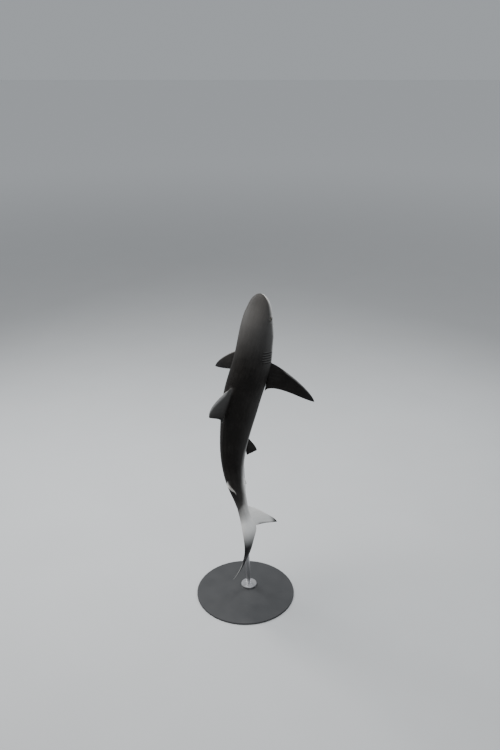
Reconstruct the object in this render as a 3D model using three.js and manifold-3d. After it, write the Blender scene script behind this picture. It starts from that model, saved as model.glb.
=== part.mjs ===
// A life-size silky shark on a plain display stand, climbing steeply with its body in a swimming curve.
// Millimetres, +Z up. The middle of the base's underside is the origin, and the shark is seen along +Y.
// Lengths of the animal are given in percent of its total length, as fish are measured.

import * as THREE from 'three';
import Module from 'manifold-3d';

// ---------------------------------------------------------------------------------------------
// Driving dimensions
// ---------------------------------------------------------------------------------------------

const TOTAL_LENGTH = 2300; // snout tip to tail tip, along the back
const TAIL_TIP = 101.5; // percent: the drooping tip of the tail trails a little past the length
const PERCENT = TOTAL_LENGTH / 100;
const GAP = 0.3; // clearance between neighbouring solids

const CLIMB = 78; // degrees that the body's forward line rises above level
const BEND_PLANE = 45; // degrees that the plane of the swimming curve is rolled
const SNOUT_PLACE = new THREE.Vector3(110.5, 55, 2514); // where the snout's tip stands over the base

// The swimming curve: station, heading to the animal's right, roll (degrees)
const SWIM_CURVE = [
  [0, 5.8, 38],
  [7, 7.2, 38],
  [14, 9, 39],
  [26, 22, 42],
  [40, 14.5, 45],
  [52, 6.5, 46],
  [62, -13, 44],
  [70, -25, 50],
  [77, -10, 60],
  [84, -1.5, 43],
  [90, 19, 30],
  [96, 32, 21],
  [TAIL_TIP, 39, 16],
];

// The body: station, half width, rise of the back and drop of the belly from the axis
const BODY = [
  [0, 0, 0, 0],
  [1, 2.28, 1.1, 0.95],
  [2.5, 3.48, 1.84, 1.45],
  [4.5, 4.25, 2.75, 1.85],
  [7, 4.9, 3.95, 2.1],
  [10, 5.35, 5.05, 2.65],
  [14, 5.7, 5.65, 3.8],
  [19, 5.92, 5.95, 5.0],
  [25, 6.0, 6.2, 5.8],
  [32, 5.78, 6.5, 6.15],
  [39, 5.25, 6.1, 6.3],
  [46, 4.55, 5.42, 5.4],
  [53, 3.84, 4.75, 4.38],
  [60, 3.06, 3.95, 3.45],
  [66, 2.34, 3.05, 2.62],
  [70, 1.92, 2.3, 2.0],
  [73, 1.6, 2.05, 1.65],
  [77, 1.1, 1.8, 2.7],
  [80, 0.82, 1.6, 3.9],
  [84, 0.6, 1.35, 3.25],
  [89, 0.4, 0.98, 2.4],
  [92.6, 0.3, 0.8, 1.7],
  [95, 0.25, 0.68, 1.95],
  [99, 0.17, 0.42, 1.3],
  [TAIL_TIP, 0.08, 0.08, 0.25],
];

const HEAD_END = 15.9;
const GILLS_END = 20.1;
const TRUNK_FRONT_END = 36;
const TRUNK_MIDDLE_END = 49.5;
const TRUNK_REAR_END = 62.5;
const STALK_END = 72.9;
const FLAT_SNOUT_END = 15; // the head's underside is flattened as far as here
const BLADE_START = 75; // the round stalk turns into a thin blade between these
const BLADE_FULL = 82;

const EYE = { station: 6.9, angle: 85, radius: 0.8, proud: 0.2 };
const GILL_SLITS = { first: 16.5, spacing: 0.72, count: 5, from: 61, to: 112, width: 1.6, depth: 0.035 };
const MOUTH = { front: 7.2, corner: 11.9, halfWidth: 4.3, throat: 14.8, height: 1.3 };

// Fins. lead and trail are the two middle handles of the curves that run from the origin and
// from the free rear tip to the apex. Along the body first, then out from it.
const FIRST_DORSAL = {
  station: 29.9, base: 9.0, angle: 0, apex: [9.35, 6.75], rearTip: [12.8, 0.7],
  lead: [[1.5, 3.0], [5.4, 8.2]], trail: [[10.4, 1.2], [10.3, 5.2]], thick: 0.52, lean: 0,
};
const SECOND_DORSAL = {
  station: 62.9, base: 2.7, angle: 0, apex: [3.3, 1.45], rearTip: [5.3, 0.75],
  lead: [[1.0, 0.7], [2.1, 1.5]], trail: [[4.3, 0.7], [3.5, 0.85]], thick: 0.18, lean: 2.7,
};
const ANAL = {
  station: 62.0, base: 3.2, angle: 180, apex: [3.6, 1.65], rearTip: [5.8, 0.42],
  lead: [[1.0, 0.75], [2.3, 1.7]], trail: [[4.2, 0.5], [3.5, 0.75]], thick: 0.24, lean: 0,
};
const LOWER_LOBE = {
  station: 72.3, base: 7.0, angle: 180, apex: [8.15, 8.65], rearTip: [7.2, 0.4],
  lead: [[1.5, 3.3], [4.2, 5.9]], trail: [[6.8, 2.4], [7.7, 6.2]], thick: 0.42, lean: 0,
};
const PECTORAL = {
  station: 20.2, base: 5.7, angle: 118, apex: [11.1, 15.7], rearTip: [10.3, 0.45],
  lead: [[1.1, 5.2], [8.3, 15.0]], trail: [[6.4, 3.0], [10.6, 10.4]], thick: 0.62,
  droop: { left: 8, right: 38 }, sweep: { left: 9, right: -4 }, attack: 3, curl: 0.9,
  tuck: { left: 1.6, right: -1.1 },
};
const PELVIC = {
  station: 48.9, base: 4.3, angle: 138, apex: [3.7, 2.9], rearTip: [5.8, 0.6],
  lead: [[1.0, 1.1], [2.5, 2.9]], trail: [[4.8, 1.2], [4.2, 2.0]], thick: 0.3,
  droop: { left: 34, right: 34 }, sweep: { left: 0, right: 0 }, attack: 0, curl: 0.2,
  tuck: { left: -0.5, right: -0.7 },
};

const BASE_RADIUS = 390;
const BASE_THICK = 14;
const BASE_EDGE = 3;
const FLANGE_RADIUS = 62;
const FLANGE_HEIGHT = 18;
const ROD_RADIUS = 17;
const ROD_FOOT = new THREE.Vector3(28, 75, 0); // the rod leans a little, from its foot
const ROD_HEAD = new THREE.Vector3(-44, 33, 1600); // to its head inside the belly

const COLUMNS = 28; // points round the body
const CHORD_POINTS = 7; // points along each side of a fin's section

// ---------------------------------------------------------------------------------------------
// Materials
// ---------------------------------------------------------------------------------------------

const paint = (color, roughness, metalness = 0) =>
  new THREE.MeshStandardMaterial({ color, roughness, metalness });
const backSkin = paint(0x565552, 0.5);
const bellySkin = paint(0xc9c7c0, 0.5);
const finSkin = paint(0x4d4b49, 0.52);
const eyeGloss = paint(0x15140f, 0.08);
const standSteel = paint(0xb4b6b8, 0.3, 0.9);
const standPaint = paint(0x2b2c2e, 0.45, 0.2);

// ---------------------------------------------------------------------------------------------
// Small maths
// ---------------------------------------------------------------------------------------------

const radians = THREE.MathUtils.degToRad;
const smooth = (x, from, to) => THREE.MathUtils.smoothstep(x, from, to);
const mix = THREE.MathUtils.lerp;

/** A natural cubic spline through rows of [x, ...values], for the value in the given column. */
function spline(rows, column, stretch = (x) => x) {
  const xs = rows.map((row) => stretch(row[0]));
  const ys = rows.map((row) => row[column]);
  const last = xs.length - 1;
  const bends = new Array(last + 1).fill(0);
  const carry = new Array(last + 1).fill(0);
  for (let i = 1; i < last; i += 1) {
    const before = xs[i] - xs[i - 1];
    const after = xs[i + 1] - xs[i];
    const share = before / (before + after);
    const pivot = share * bends[i - 1] + 2;
    const jump = (ys[i + 1] - ys[i]) / after - (ys[i] - ys[i - 1]) / before;
    bends[i] = (share - 1) / pivot;
    carry[i] = ((6 * jump) / (before + after) - share * carry[i - 1]) / pivot;
  }
  for (let i = last - 1; i >= 0; i -= 1) {
    bends[i] = bends[i] * (i === last - 1 ? 0 : bends[i + 1]) + carry[i];
  }
  bends[last] = 0;
  return (at) => {
    const x = THREE.MathUtils.clamp(stretch(at), xs[0], xs[last]);
    let i = 0;
    while (i < last - 1 && x > xs[i + 1]) i += 1;
    const wide = xs[i + 1] - xs[i];
    const a = (xs[i + 1] - x) / wide;
    const b = (x - xs[i]) / wide;
    const curve = ((a ** 3 - a) * bends[i] + (b ** 3 - b) * bends[i + 1]) * (wide ** 2 / 6);
    return a * ys[i] + b * ys[i + 1] + curve;
  };
}

/** A point on a cubic Bezier curve through [along, out] pairs. */
function bezier(p, t) {
  const s = 1 - t;
  const weights = [s ** 3, 3 * s * s * t, 3 * s * t * t, t ** 3];
  return [0, 1].map((axis) => weights.reduce((sum, w, i) => sum + w * p[i][axis], 0));
}

// ---------------------------------------------------------------------------------------------
// The animal's frame: where each station lies, and its forward, right and back directions
// ---------------------------------------------------------------------------------------------

const heading = spline(SWIM_CURVE, 1);
const roll = spline(SWIM_CURVE, 2);
const climb = radians(CLIMB);
const STEPS = 500;
const spine = buildSpine();

function directionsAt(station) {
  const forward0 = new THREE.Vector3(0, Math.cos(climb), Math.sin(climb));
  const back0 = new THREE.Vector3(0, -Math.sin(climb), Math.cos(climb));
  const right0 = new THREE.Vector3(1, 0, 0);
  const plane = radians(BEND_PLANE);
  const side = right0.clone().multiplyScalar(Math.cos(plane)).addScaledVector(back0, Math.sin(plane));
  const turn = radians(heading(station));
  const ahead = forward0.clone().multiplyScalar(Math.cos(turn)).addScaledVector(side, Math.sin(turn));
  const across = side.multiplyScalar(Math.cos(turn)).addScaledVector(forward0, -Math.sin(turn));
  const above = new THREE.Vector3().crossVectors(across, ahead);
  const twist = radians(roll(station)) - plane;
  const right = across.clone().multiplyScalar(Math.cos(twist)).addScaledVector(above, Math.sin(twist));
  const up = above.multiplyScalar(Math.cos(twist)).addScaledVector(across, -Math.sin(twist));
  return { ahead, right, up };
}

function buildSpine() {
  const points = [SNOUT_PLACE.clone()];
  const step = (PERCENT * TAIL_TIP) / STEPS;
  for (let i = 1; i <= STEPS; i += 1) {
    const { ahead } = directionsAt(((i - 0.5) * TAIL_TIP) / STEPS);
    points.push(points[i - 1].clone().addScaledVector(ahead, -step));
  }
  return points;
}

function frameAt(station) {
  const place = THREE.MathUtils.clamp((station / TAIL_TIP) * STEPS, 0, STEPS);
  const i = Math.min(Math.floor(place), STEPS - 1);
  const point = spine[i].clone().lerp(spine[i + 1], place - i);
  const past = station - TAIL_TIP;
  const directions = directionsAt(station);
  if (past > 0) point.addScaledVector(directions.ahead, -past * PERCENT);
  return { point, ...directions };
}

// ---------------------------------------------------------------------------------------------
// The body's sections
// ---------------------------------------------------------------------------------------------

const halfWidth = spline(BODY, 1, Math.sqrt);
const rise = spline(BODY, 2, Math.sqrt);
const drop = spline(BODY, 3, Math.sqrt);

/** Right and up distances, in percent, of the skin at a station and an angle from the back. */
function sectionAt(station, angle) {
  const blade = smooth(station, BLADE_START, BLADE_FULL);
  const flat = 0.42 * (1 - smooth(station, 9, FLAT_SNOUT_END));
  const cos = Math.cos(angle);
  const sin = Math.sin(angle);
  const low = Math.abs(cos) * (1 + flat * (1 - cos * cos));
  const roundUp = cos > 0 ? rise(station) * cos : -drop(station) * low;
  const chord = (1 - cos) / 2;
  const bladeUp = rise(station) - chord * (rise(station) + drop(station));
  const bladeHalf = 2.6 * Math.sqrt(chord) * (1 - chord) * halfWidth(station) + 0.035 * Math.abs(sin);
  const right = mix(halfWidth(station) * sin, Math.sign(sin) * bladeHalf, blade);
  return [right, mix(roundUp, bladeUp, blade)];
}

function skinPoint(station, angle, grow = 0) {
  const { point, right, up } = frameAt(station);
  const [x, z] = sectionAt(station, angle);
  const size = Math.hypot(x, z) || 1;
  point.addScaledVector(right, x * PERCENT + (grow * x) / size);
  return point.addScaledVector(up, z * PERCENT + (grow * z) / size);
}

function bodyRing(station, grow = 0) {
  return Array.from({ length: COLUMNS }, (_, i) => skinPoint(station, (i / COLUMNS) * 2 * Math.PI, grow));
}

// ---------------------------------------------------------------------------------------------
// Solids
// ---------------------------------------------------------------------------------------------

const wasm = await Module();
wasm.setup();

/** A closed solid from a row of like rings, each end closed by a fan to its middle. */
function loft(rings) {
  const count = rings[0].length;
  const middle = (ring) => ring.reduce((sum, p) => sum.add(p), new THREE.Vector3()).divideScalar(count);
  const points = [...rings.flat(), middle(rings[0]), middle(rings[rings.length - 1])];
  const faces = [];
  for (let r = 0; r < rings.length - 1; r += 1) {
    for (let i = 0; i < count; i += 1) {
      const a = r * count + i;
      const b = r * count + ((i + 1) % count);
      faces.push([a, b, b + count], [a, b + count, a + count]);
    }
  }
  const start = rings.length * count;
  const end = (rings.length - 1) * count;
  for (let i = 0; i < count; i += 1) {
    faces.push([start, (i + 1) % count, i], [start + 1, end + i, end + ((i + 1) % count)]);
  }
  return solidOf(points, faces);
}

function solidOf(points, faces) {
  const signed = (f) => points[f[0]].dot(new THREE.Vector3().crossVectors(points[f[1]], points[f[2]]));
  const volume = faces.reduce((sum, f) => sum + signed(f), 0);
  const outward = volume > 0 ? faces : faces.map(([a, b, c]) => [a, c, b]);
  const mesh = new wasm.Mesh({
    numProp: 3,
    vertProperties: new Float32Array(points.flatMap((p) => p.toArray())),
    triVerts: new Uint32Array(outward.flat()),
  });
  mesh.merge();
  return new wasm.Manifold(mesh);
}

/** Evenly spaced values from first to last. */
function spread(first, last, count) {
  return Array.from({ length: count + 1 }, (_, i) => first + ((last - first) * i) / count);
}

/** The stations of one length of the body, closer together near the snout's tip. */
function stationsOf([, from, to, count]) {
  const half = GAP / 2 / PERCENT;
  const start = from > 0 ? from + half : 0.02;
  const end = to < TAIL_TIP ? to - half : to;
  const power = from > 0 ? 1 : 1.7;
  return spread(0, 1, count).map((x) => start + (end - start) * x ** power);
}

function lengthSolid(length) {
  return loft(stationsOf(length).map((station) => bodyRing(station)));
}

function ball(centre, radius, detail = 20) {
  const shape = wasm.Manifold.sphere(radius, detail);
  return shape.translate(centre.toArray());
}

/** The upright rod, grown all round by a clearance, from below the base to its head. */
function rodSolid(grow) {
  const lean = ROD_HEAD.clone().sub(ROD_FOOT);
  const length = lean.length();
  const turn = new THREE.Quaternion().setFromUnitVectors(new THREE.Vector3(0, 0, 1), lean.normalize());
  const place = new THREE.Matrix4().compose(ROD_FOOT, turn, new THREE.Vector3(1, 1, 1));
  const radius = ROD_RADIUS + grow;
  const straight = wasm.Manifold.cylinder(length + 40 + grow, radius, radius, 24).translate([0, 0, -40]);
  return straight.transform(place.elements);
}

// --- eyes ---

function eyeCentre(side) {
  const angle = side * radians(EYE.angle);
  const surface = skinPoint(EYE.station, angle);
  const { point } = frameAt(EYE.station);
  const inward = point.sub(surface).normalize();
  return surface.addScaledVector(inward, (EYE.radius - EYE.proud) * PERCENT);
}

// --- mouth ---

/** A prism under the head whose outline is the mouth's arch, from the lips back to the throat. */
function jawBlock(grow) {
  const { point, ahead, right, up } = frameAt(MOUTH.corner);
  const outline = [];
  for (const x of spread(-1, 1, 12)) {
    const back = MOUTH.front + (MOUTH.corner - MOUTH.front) * x * x;
    outline.push([back, x * MOUTH.halfWidth]);
  }
  outline.push([MOUTH.throat, MOUTH.halfWidth * 0.8], [MOUTH.throat, -MOUTH.halfWidth * 0.8]);
  const middle = [(MOUTH.front + MOUTH.throat) / 2, 0];
  const place = ([station, across], height) => {
    const size = Math.hypot(station - middle[0], across - middle[1]);
    const out = 1 + grow / PERCENT / size;
    const at = middle.map((m, i) => m + ([station, across][i] - m) * out);
    const spot = point.clone().addScaledVector(ahead, (MOUTH.corner - at[0]) * PERCENT);
    return spot.addScaledVector(right, at[1] * PERCENT).addScaledVector(up, height * PERCENT);
  };
  return loft([-9, -MOUTH.height + grow / PERCENT].map((height) => outline.map((p) => place(p, height))));
}

// --- gill slits ---

function gillCutter(index, side) {
  const station = GILL_SLITS.first + index * GILL_SLITS.spacing;
  const shorter = index === GILL_SLITS.count - 1 ? 5 : 0;
  const angles = spread(GILL_SLITS.from + shorter, GILL_SLITS.to - shorter, 4);
  const halfThick = GILL_SLITS.width / 2 / PERCENT;
  const rings = angles.map((angle, i) => {
    const deep = 1 - GILL_SLITS.depth * Math.sin((Math.PI * (i + 0.3)) / 4.6);
    const lean = 0.5 * (i / 4 - 0.5) ** 2;
    return [[deep, -halfThick], [deep, halfThick], [1.03, 2 * halfThick], [1.03, -2 * halfThick]].map(
      ([share, along]) => {
        const { point, right, up } = frameAt(station + along + lean);
        const [x, z] = sectionAt(station + along + lean, side * radians(angle));
        return point.addScaledVector(right, x * share * PERCENT).addScaledVector(up, z * share * PERCENT);
      },
    );
  });
  return loft(rings);
}

// ---------------------------------------------------------------------------------------------
// Fins
// ---------------------------------------------------------------------------------------------

const INNER_SHARE = 0.2; // the share of the rows that runs along the inner margin

/** Front and rear end of a fin's row t, from 0 at its root to 1 at its apex. */
function finRow(fin, t) {
  const front = bezier([[0, 0], ...fin.lead, fin.apex], t);
  if (t < INNER_SHARE) {
    const s = t / INNER_SHARE;
    return [front, [mix(fin.base, fin.rearTip[0], s), fin.rearTip[1] * s ** 1.5]];
  }
  const s = (t - INNER_SHARE) / (1 - INNER_SHARE);
  return [front, bezier([fin.rearTip, ...fin.trail, fin.apex], s)];
}

/** Half thickness of a fin at a share c of its chord: a round front, thickest at a third. */
function finHalf(fin, t, c) {
  const wing = 2.6 * Math.sqrt(c) * (1 - c);
  const edge = 0.03 * Math.sqrt(Math.max(0, 4 * c * (1 - c)));
  return fin.thick * (1 - t) ** 0.7 * wing * (0.75 + 0.25 * (1 - smooth(t, 0, 0.3))) + edge;
}

/** The closed section of a fin: out along one face and home along the other. */
function finSection(fin, t, sink, place) {
  const [front, rear] = finRow(fin, t);
  const shares = spread(0, 1, CHORD_POINTS).map((x) => (1 - Math.cos(Math.PI * x)) / 2);
  const faces = [...shares.map((c) => [c, 1]), ...shares.slice(1, -1).reverse().map((c) => [c, -1])];
  return faces.map(([c, face]) => {
    const along = mix(front[0], rear[0], c);
    const out = mix(front[1], rear[1], c) - sink;
    return place(along, out, face * finHalf(fin, t, c), t);
  });
}

function finSolid(fin, place, sink) {
  const rows = spread(0, 1, 10).map((x) => Math.min(x, 0.985));
  return loft([finSection(fin, 0, sink, place), ...rows.map((t) => finSection(fin, t, 0, place))]);
}

/** A fin on the animal's middle plane, bent along with the body. */
function medianPlace(fin) {
  const above = fin.angle === 0 ? 1 : -1;
  const level = (station) => (above > 0 ? rise(station) : drop(station));
  return (along, out, thick) => {
    const station = fin.station + along;
    const { point, right, up } = frameAt(station);
    const sway = fin.lean * smooth(along, 0.5, fin.rearTip[0]);
    point.addScaledVector(right, (thick + sway) * PERCENT);
    return point.addScaledVector(up, above * (level(station) + out) * PERCENT);
  };
}

/** A fin of a pair, on a plane of its own that droops, tips and curls. Its rear tip keeps to the body. */
function pairedPlace(fin, [hand, side]) {
  const root = skinPoint(fin.station, side * radians(fin.angle));
  const { ahead, right, up } = frameAt(fin.station + fin.base / 2);
  const droop = radians(fin.droop[hand]);
  const sweep = radians(fin.sweep[hand]);
  const attack = radians(fin.attack);
  const span = right.clone().multiplyScalar(side * Math.cos(droop)).addScaledVector(up, -Math.sin(droop));
  const top = up.clone().multiplyScalar(Math.cos(droop)).addScaledVector(right, side * Math.sin(droop));
  const rearward = ahead.clone().multiplyScalar(-Math.cos(attack)).addScaledVector(top, -Math.sin(attack));
  const normal = top.clone().multiplyScalar(Math.cos(attack)).addScaledVector(ahead, -Math.sin(attack));
  return (along, out, thick) => {
    const curl = -fin.curl * Math.max(0, out / fin.apex[1]) ** 2;
    const back = along * Math.cos(sweep) + out * Math.sin(sweep);
    const near = 1 - smooth(out, 0.6 * fin.rearTip[1], 0.6 * fin.apex[1]);
    const tuck = fin.tuck[hand] * smooth(along, 0, fin.rearTip[0]) * near;
    const reach = out * Math.cos(sweep) - along * Math.sin(sweep) + tuck;
    const spot = root.clone().addScaledVector(rearward, back * PERCENT);
    return spot.addScaledVector(span, reach * PERCENT).addScaledVector(normal, (thick + curl) * PERCENT);
  };
}

// ---------------------------------------------------------------------------------------------
// The animal
// ---------------------------------------------------------------------------------------------

const object = new THREE.Group();

function addNode(name, solid, material) {
  const { numProp, vertProperties, triVerts } = solid.getMesh();
  const positions = new Float32Array((vertProperties.length / numProp) * 3);
  for (let i = 0; i < positions.length / 3; i += 1) {
    for (let k = 0; k < 3; k += 1) positions[3 * i + k] = vertProperties[numProp * i + k];
  }
  const geometry = new THREE.BufferGeometry();
  geometry.setAttribute('position', new THREE.BufferAttribute(positions, 3));
  geometry.setIndex(new THREE.BufferAttribute(new Uint32Array(triVerts), 1));
  const mesh = new THREE.Mesh(geometry, material);
  mesh.name = name;
  object.add(mesh);
}

const sides = [['left', -1], ['right', 1]];
const jawRoom = jawBlock(GAP);
const rodRoom = rodSolid(GAP);

const lengths = [
  ['head', 0, HEAD_END, 15],
  ['gill_region', HEAD_END, GILLS_END, 3],
  ['trunk_front', GILLS_END, TRUNK_FRONT_END, 8],
  ['trunk_middle', TRUNK_FRONT_END, TRUNK_MIDDLE_END, 7],
  ['trunk_rear', TRUNK_MIDDLE_END, TRUNK_REAR_END, 7],
  ['tail_stalk', TRUNK_REAR_END, STALK_END, 7],
  ['caudal_upper_lobe', STALK_END, TAIL_TIP, 17],
];
const skinRoom = loft(lengths.flatMap(stationsOf).map((station) => bodyRing(station, GAP)));

const wholeHead = lengthSolid(lengths[0]);
let head = wholeHead.subtract(jawRoom);
for (const [name, side] of sides) {
  const centre = eyeCentre(side);
  head = head.subtract(ball(centre, EYE.radius * PERCENT + GAP, 16));
  addNode(`eye_${name}`, ball(centre, EYE.radius * PERCENT, 16), eyeGloss);
}
addNode('head', head, backSkin);
addNode('lower_jaw', wholeHead.intersect(jawBlock(0)), bellySkin);

let gills = lengthSolid(lengths[1]);
for (const [, side] of sides) {
  for (let i = 0; i < GILL_SLITS.count; i += 1) gills = gills.subtract(gillCutter(i, side));
}
addNode('gill_region', gills, backSkin);

for (const length of lengths.slice(2)) addNode(length[0], lengthSolid(length).subtract(rodRoom), backSkin);

const medianFins = [
  ['first_dorsal_fin', FIRST_DORSAL],
  ['second_dorsal_fin', SECOND_DORSAL],
  ['anal_fin', ANAL],
  ['caudal_lower_lobe', LOWER_LOBE],
];
for (const [name, fin] of medianFins) {
  addNode(name, finSolid(fin, medianPlace(fin), 1.2).subtract(skinRoom), finSkin);
}
for (const [kind, fin, sink] of [['pectoral', PECTORAL, 2], ['pelvic', PELVIC, 1.2]]) {
  for (const hand of sides) {
    addNode(`${kind}_fin_${hand[0]}`, finSolid(fin, pairedPlace(fin, hand), sink).subtract(skinRoom), finSkin);
  }
}

// ---------------------------------------------------------------------------------------------
// The stand: a round base, a flange and one upright rod that ends inside the belly
// ---------------------------------------------------------------------------------------------

function disc(radius, from, to, edge, segments) {
  const body = wasm.Manifold.cylinder(to - from - edge, radius, radius, segments).translate([0, 0, from]);
  const rim = wasm.Manifold.cylinder(edge, radius, radius - edge, segments).translate([0, 0, to - edge]);
  return body.add(rim);
}

const baseTop = BASE_THICK + GAP;
const flange = disc(FLANGE_RADIUS, baseTop, baseTop + FLANGE_HEIGHT, BASE_EDGE, 32);
addNode('stand_base', disc(BASE_RADIUS, 0, BASE_THICK, BASE_EDGE, 48), standPaint);
addNode('stand_flange', flange.translate([ROD_FOOT.x, ROD_FOOT.y, 0]).subtract(rodRoom), standSteel);
addNode('stand_rod', rodSolid(0).trimByPlane([0, 0, 1], baseTop), standSteel);

export default object;
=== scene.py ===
# %% [markdown]
# # A life-size silky shark on a display stand
# A silky shark is a slim ocean shark with very smooth skin. This one climbs steeply with its body
# in a swimming curve, as a museum would show it: cast whole, painted, and held up by one rod.
#
# The part's solids are loaded first as a fixed frame. New pieces could be modelled anywhere and
# moved into place afterwards. They are worked out in the solids' own frame instead, in metres
# at true size, so that nothing has to be fitted by eye.

import math

import bpy
import numpy as np
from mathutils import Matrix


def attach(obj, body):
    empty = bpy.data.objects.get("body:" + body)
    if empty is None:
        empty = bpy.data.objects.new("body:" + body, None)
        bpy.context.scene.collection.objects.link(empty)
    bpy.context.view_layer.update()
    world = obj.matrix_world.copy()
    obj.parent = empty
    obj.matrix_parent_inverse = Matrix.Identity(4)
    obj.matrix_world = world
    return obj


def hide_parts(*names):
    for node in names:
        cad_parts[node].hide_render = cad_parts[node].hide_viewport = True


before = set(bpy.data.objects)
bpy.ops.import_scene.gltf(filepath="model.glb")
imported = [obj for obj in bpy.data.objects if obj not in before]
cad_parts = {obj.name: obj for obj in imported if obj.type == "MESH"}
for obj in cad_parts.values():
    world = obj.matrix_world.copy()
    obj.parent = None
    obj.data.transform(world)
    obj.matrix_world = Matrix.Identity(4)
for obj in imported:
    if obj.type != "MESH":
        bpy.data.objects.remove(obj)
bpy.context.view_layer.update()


def add_object(name, data):
    """A new object of the scene that shows a mesh, a camera or a lamp."""
    item = bpy.data.objects.new(name, data)
    bpy.context.scene.collection.objects.link(item)
    return item


# %% [markdown]
# ## The camera
# A swimmer sees the shark's back from a little above its snout. A camera could be aimed by a
# constraint at a target, but this one only looks straight ahead and tips down, so one angle is
# enough. The picture's long side takes the whole width of the sensor, so the lens length sets
# how large the animal appears.

# %% Camera
CAMERA_PLACE = (0.0365, -5.1999, 4.2385)
CAMERA_TIP = math.radians(24)
SENSOR_WIDTH, LENS = 36, 38.33

camera_data = bpy.data.cameras.new("camera")
camera_data.sensor_width, camera_data.lens = SENSOR_WIDTH, LENS
camera = add_object("camera", camera_data)
camera.location = CAMERA_PLACE
camera.rotation_euler = (math.pi / 2 - CAMERA_TIP, 0, 0)
bpy.context.scene.camera = camera
print("camera stands at", CAMERA_PLACE)

# %% [markdown]
# ## The animal's measures
# Fish are measured in percent of their total length, from the snout's tip to the tail's tip. The
# body could be sculpted by hand, but then its proportions would be hard to check or to change,
# so two tables hold them. A station is a place along the middle line in percent. At each station
# one table gives the half width, the rise up to the back and the drop down to the belly. The
# other bends the middle line: how far the animal heads to its own right, and how far it rolls.

# %% Measures
TOTAL_LENGTH = 2.3
PERCENT = TOTAL_LENGTH / 100
CLIMB = math.radians(78)
BEND_PLANE = math.radians(45)
TAIL_TIP = 101.5
SNOUT_PLACE = np.array([0.1105, 0.055, 2.514])

# station, heading to the right, roll (degrees)
SWIM_CURVE = np.array([
    [0, 5.8, 38], [7, 7.2, 38], [14, 9, 39], [26, 22, 42], [40, 14.5, 45], [52, 6.5, 46],
    [62, -13, 44], [70, -25, 50], [77, -10, 60], [84, -1.5, 43], [90, 19, 30], [96, 32, 21],
    [101.5, 39, 16],
])

# station, half width, rise of the back, drop of the belly (percent)
BODY = np.array([
    [0, 0, 0, 0], [1, 2.28, 1.1, 0.95], [2.5, 3.48, 1.84, 1.45], [4.5, 4.25, 2.75, 1.85],
    [7, 4.9, 3.95, 2.1], [10, 5.35, 5.05, 2.65], [14, 5.7, 5.65, 3.8], [19, 5.92, 5.95, 5],
    [25, 6, 6.2, 5.8], [32, 5.78, 6.5, 6.15], [39, 5.25, 6.1, 6.3], [46, 4.55, 5.42, 5.4],
    [53, 3.84, 4.75, 4.38], [60, 3.06, 3.95, 3.45], [66, 2.34, 3.05, 2.62],
    [70, 1.92, 2.3, 2], [73, 1.6, 2.05, 1.65], [77, 1.1, 1.8, 2.7], [80, 0.82, 1.6, 3.9],
    [84, 0.6, 1.35, 3.25], [89, 0.4, 0.98, 2.4], [92.6, 0.3, 0.8, 1.7], [95, 0.25, 0.68, 1.95],
    [99, 0.17, 0.42, 1.3], [101.5, 0.08, 0.08, 0.25],
])

# how flat the snout's underside is, and the stations over which that fades
SNOUT_FLAT, SNOUT_FLAT_ENDS = 0.42, (9, 15)
# the stations over which the oval of the trunk turns into the blade of the tail
BLADE_ENDS = (75, 82)
print(f"{len(BODY)} body sections over {TOTAL_LENGTH} m")

# %% [markdown]
# ## Curves through the tables
# A fish has no corners between its measured stations. Straight lines between the rows of a table
# would show as rings on the skin, but a natural cubic spline passes through every row with no
# kink. Body widths are splined over the square root of the station, because a width that grows
# evenly with that root makes a round nose and not a cone.

# %% Small maths


def smooth(x, low, high):
    """0 below low, 1 above high, and 3r^2 - 2r^3 between, for the share r of the way."""
    r = np.clip((x - low) / (high - low), 0, 1)
    return r * r * (3 - 2 * r)


def bell(x, middle, width):
    """A bell of height 1: e to the minus square of the distance from the middle, in widths."""
    return np.exp(-(((x - middle) / width) ** 2))


def hump(x, start, top, fall, end):
    """0 up to the start, 1 from the top to where it falls, and 0 again from the end on."""
    return smooth(x, start, top) * (1 - smooth(x, fall, end))


def mix(a, b, share):
    """a where the share is 0, b where it is 1."""
    return a + (b - a) * share


def turned(a, b, angle):
    """Two directions at right angles, both turned by an angle from the first to the second."""
    cos, sin = np.cos(angle), np.sin(angle)
    return a * cos + b * sin, b * cos - a * sin


def wing(chord):
    """Half thickness of a wing: the root of the chord's share times the share that is left.

    Times 2.6 that is 1 at a third of the chord, round in front and thin behind."""
    return 2.6 * np.sqrt(chord) * (1 - chord)


def read_table(table, x, column=1):
    """A column of a table at x, in a straight line between its rows."""
    return np.interp(x, table[:, 0], table[:, column])


def bezier(handles, t):
    """The cubic Bezier curve of four handles, weighted s^3, 3s^2t, 3st^2 and t^3 with s = 1 - t."""
    p = np.asarray(handles, float)
    t = np.asarray(t, float)[..., None]
    s = 1 - t
    return s**3 * p[0] + 3 * s * s * t * p[1] + 3 * s * t * t * p[2] + t**3 * p[3]


def arc(start, middle, end, u):
    """The quadratic Bezier curve of three handles, weighted (1 - u)^2, 2u(1 - u) and u^2."""
    return (1 - u) ** 2 * start + 2 * u * (1 - u) * middle + u**2 * end


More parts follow.
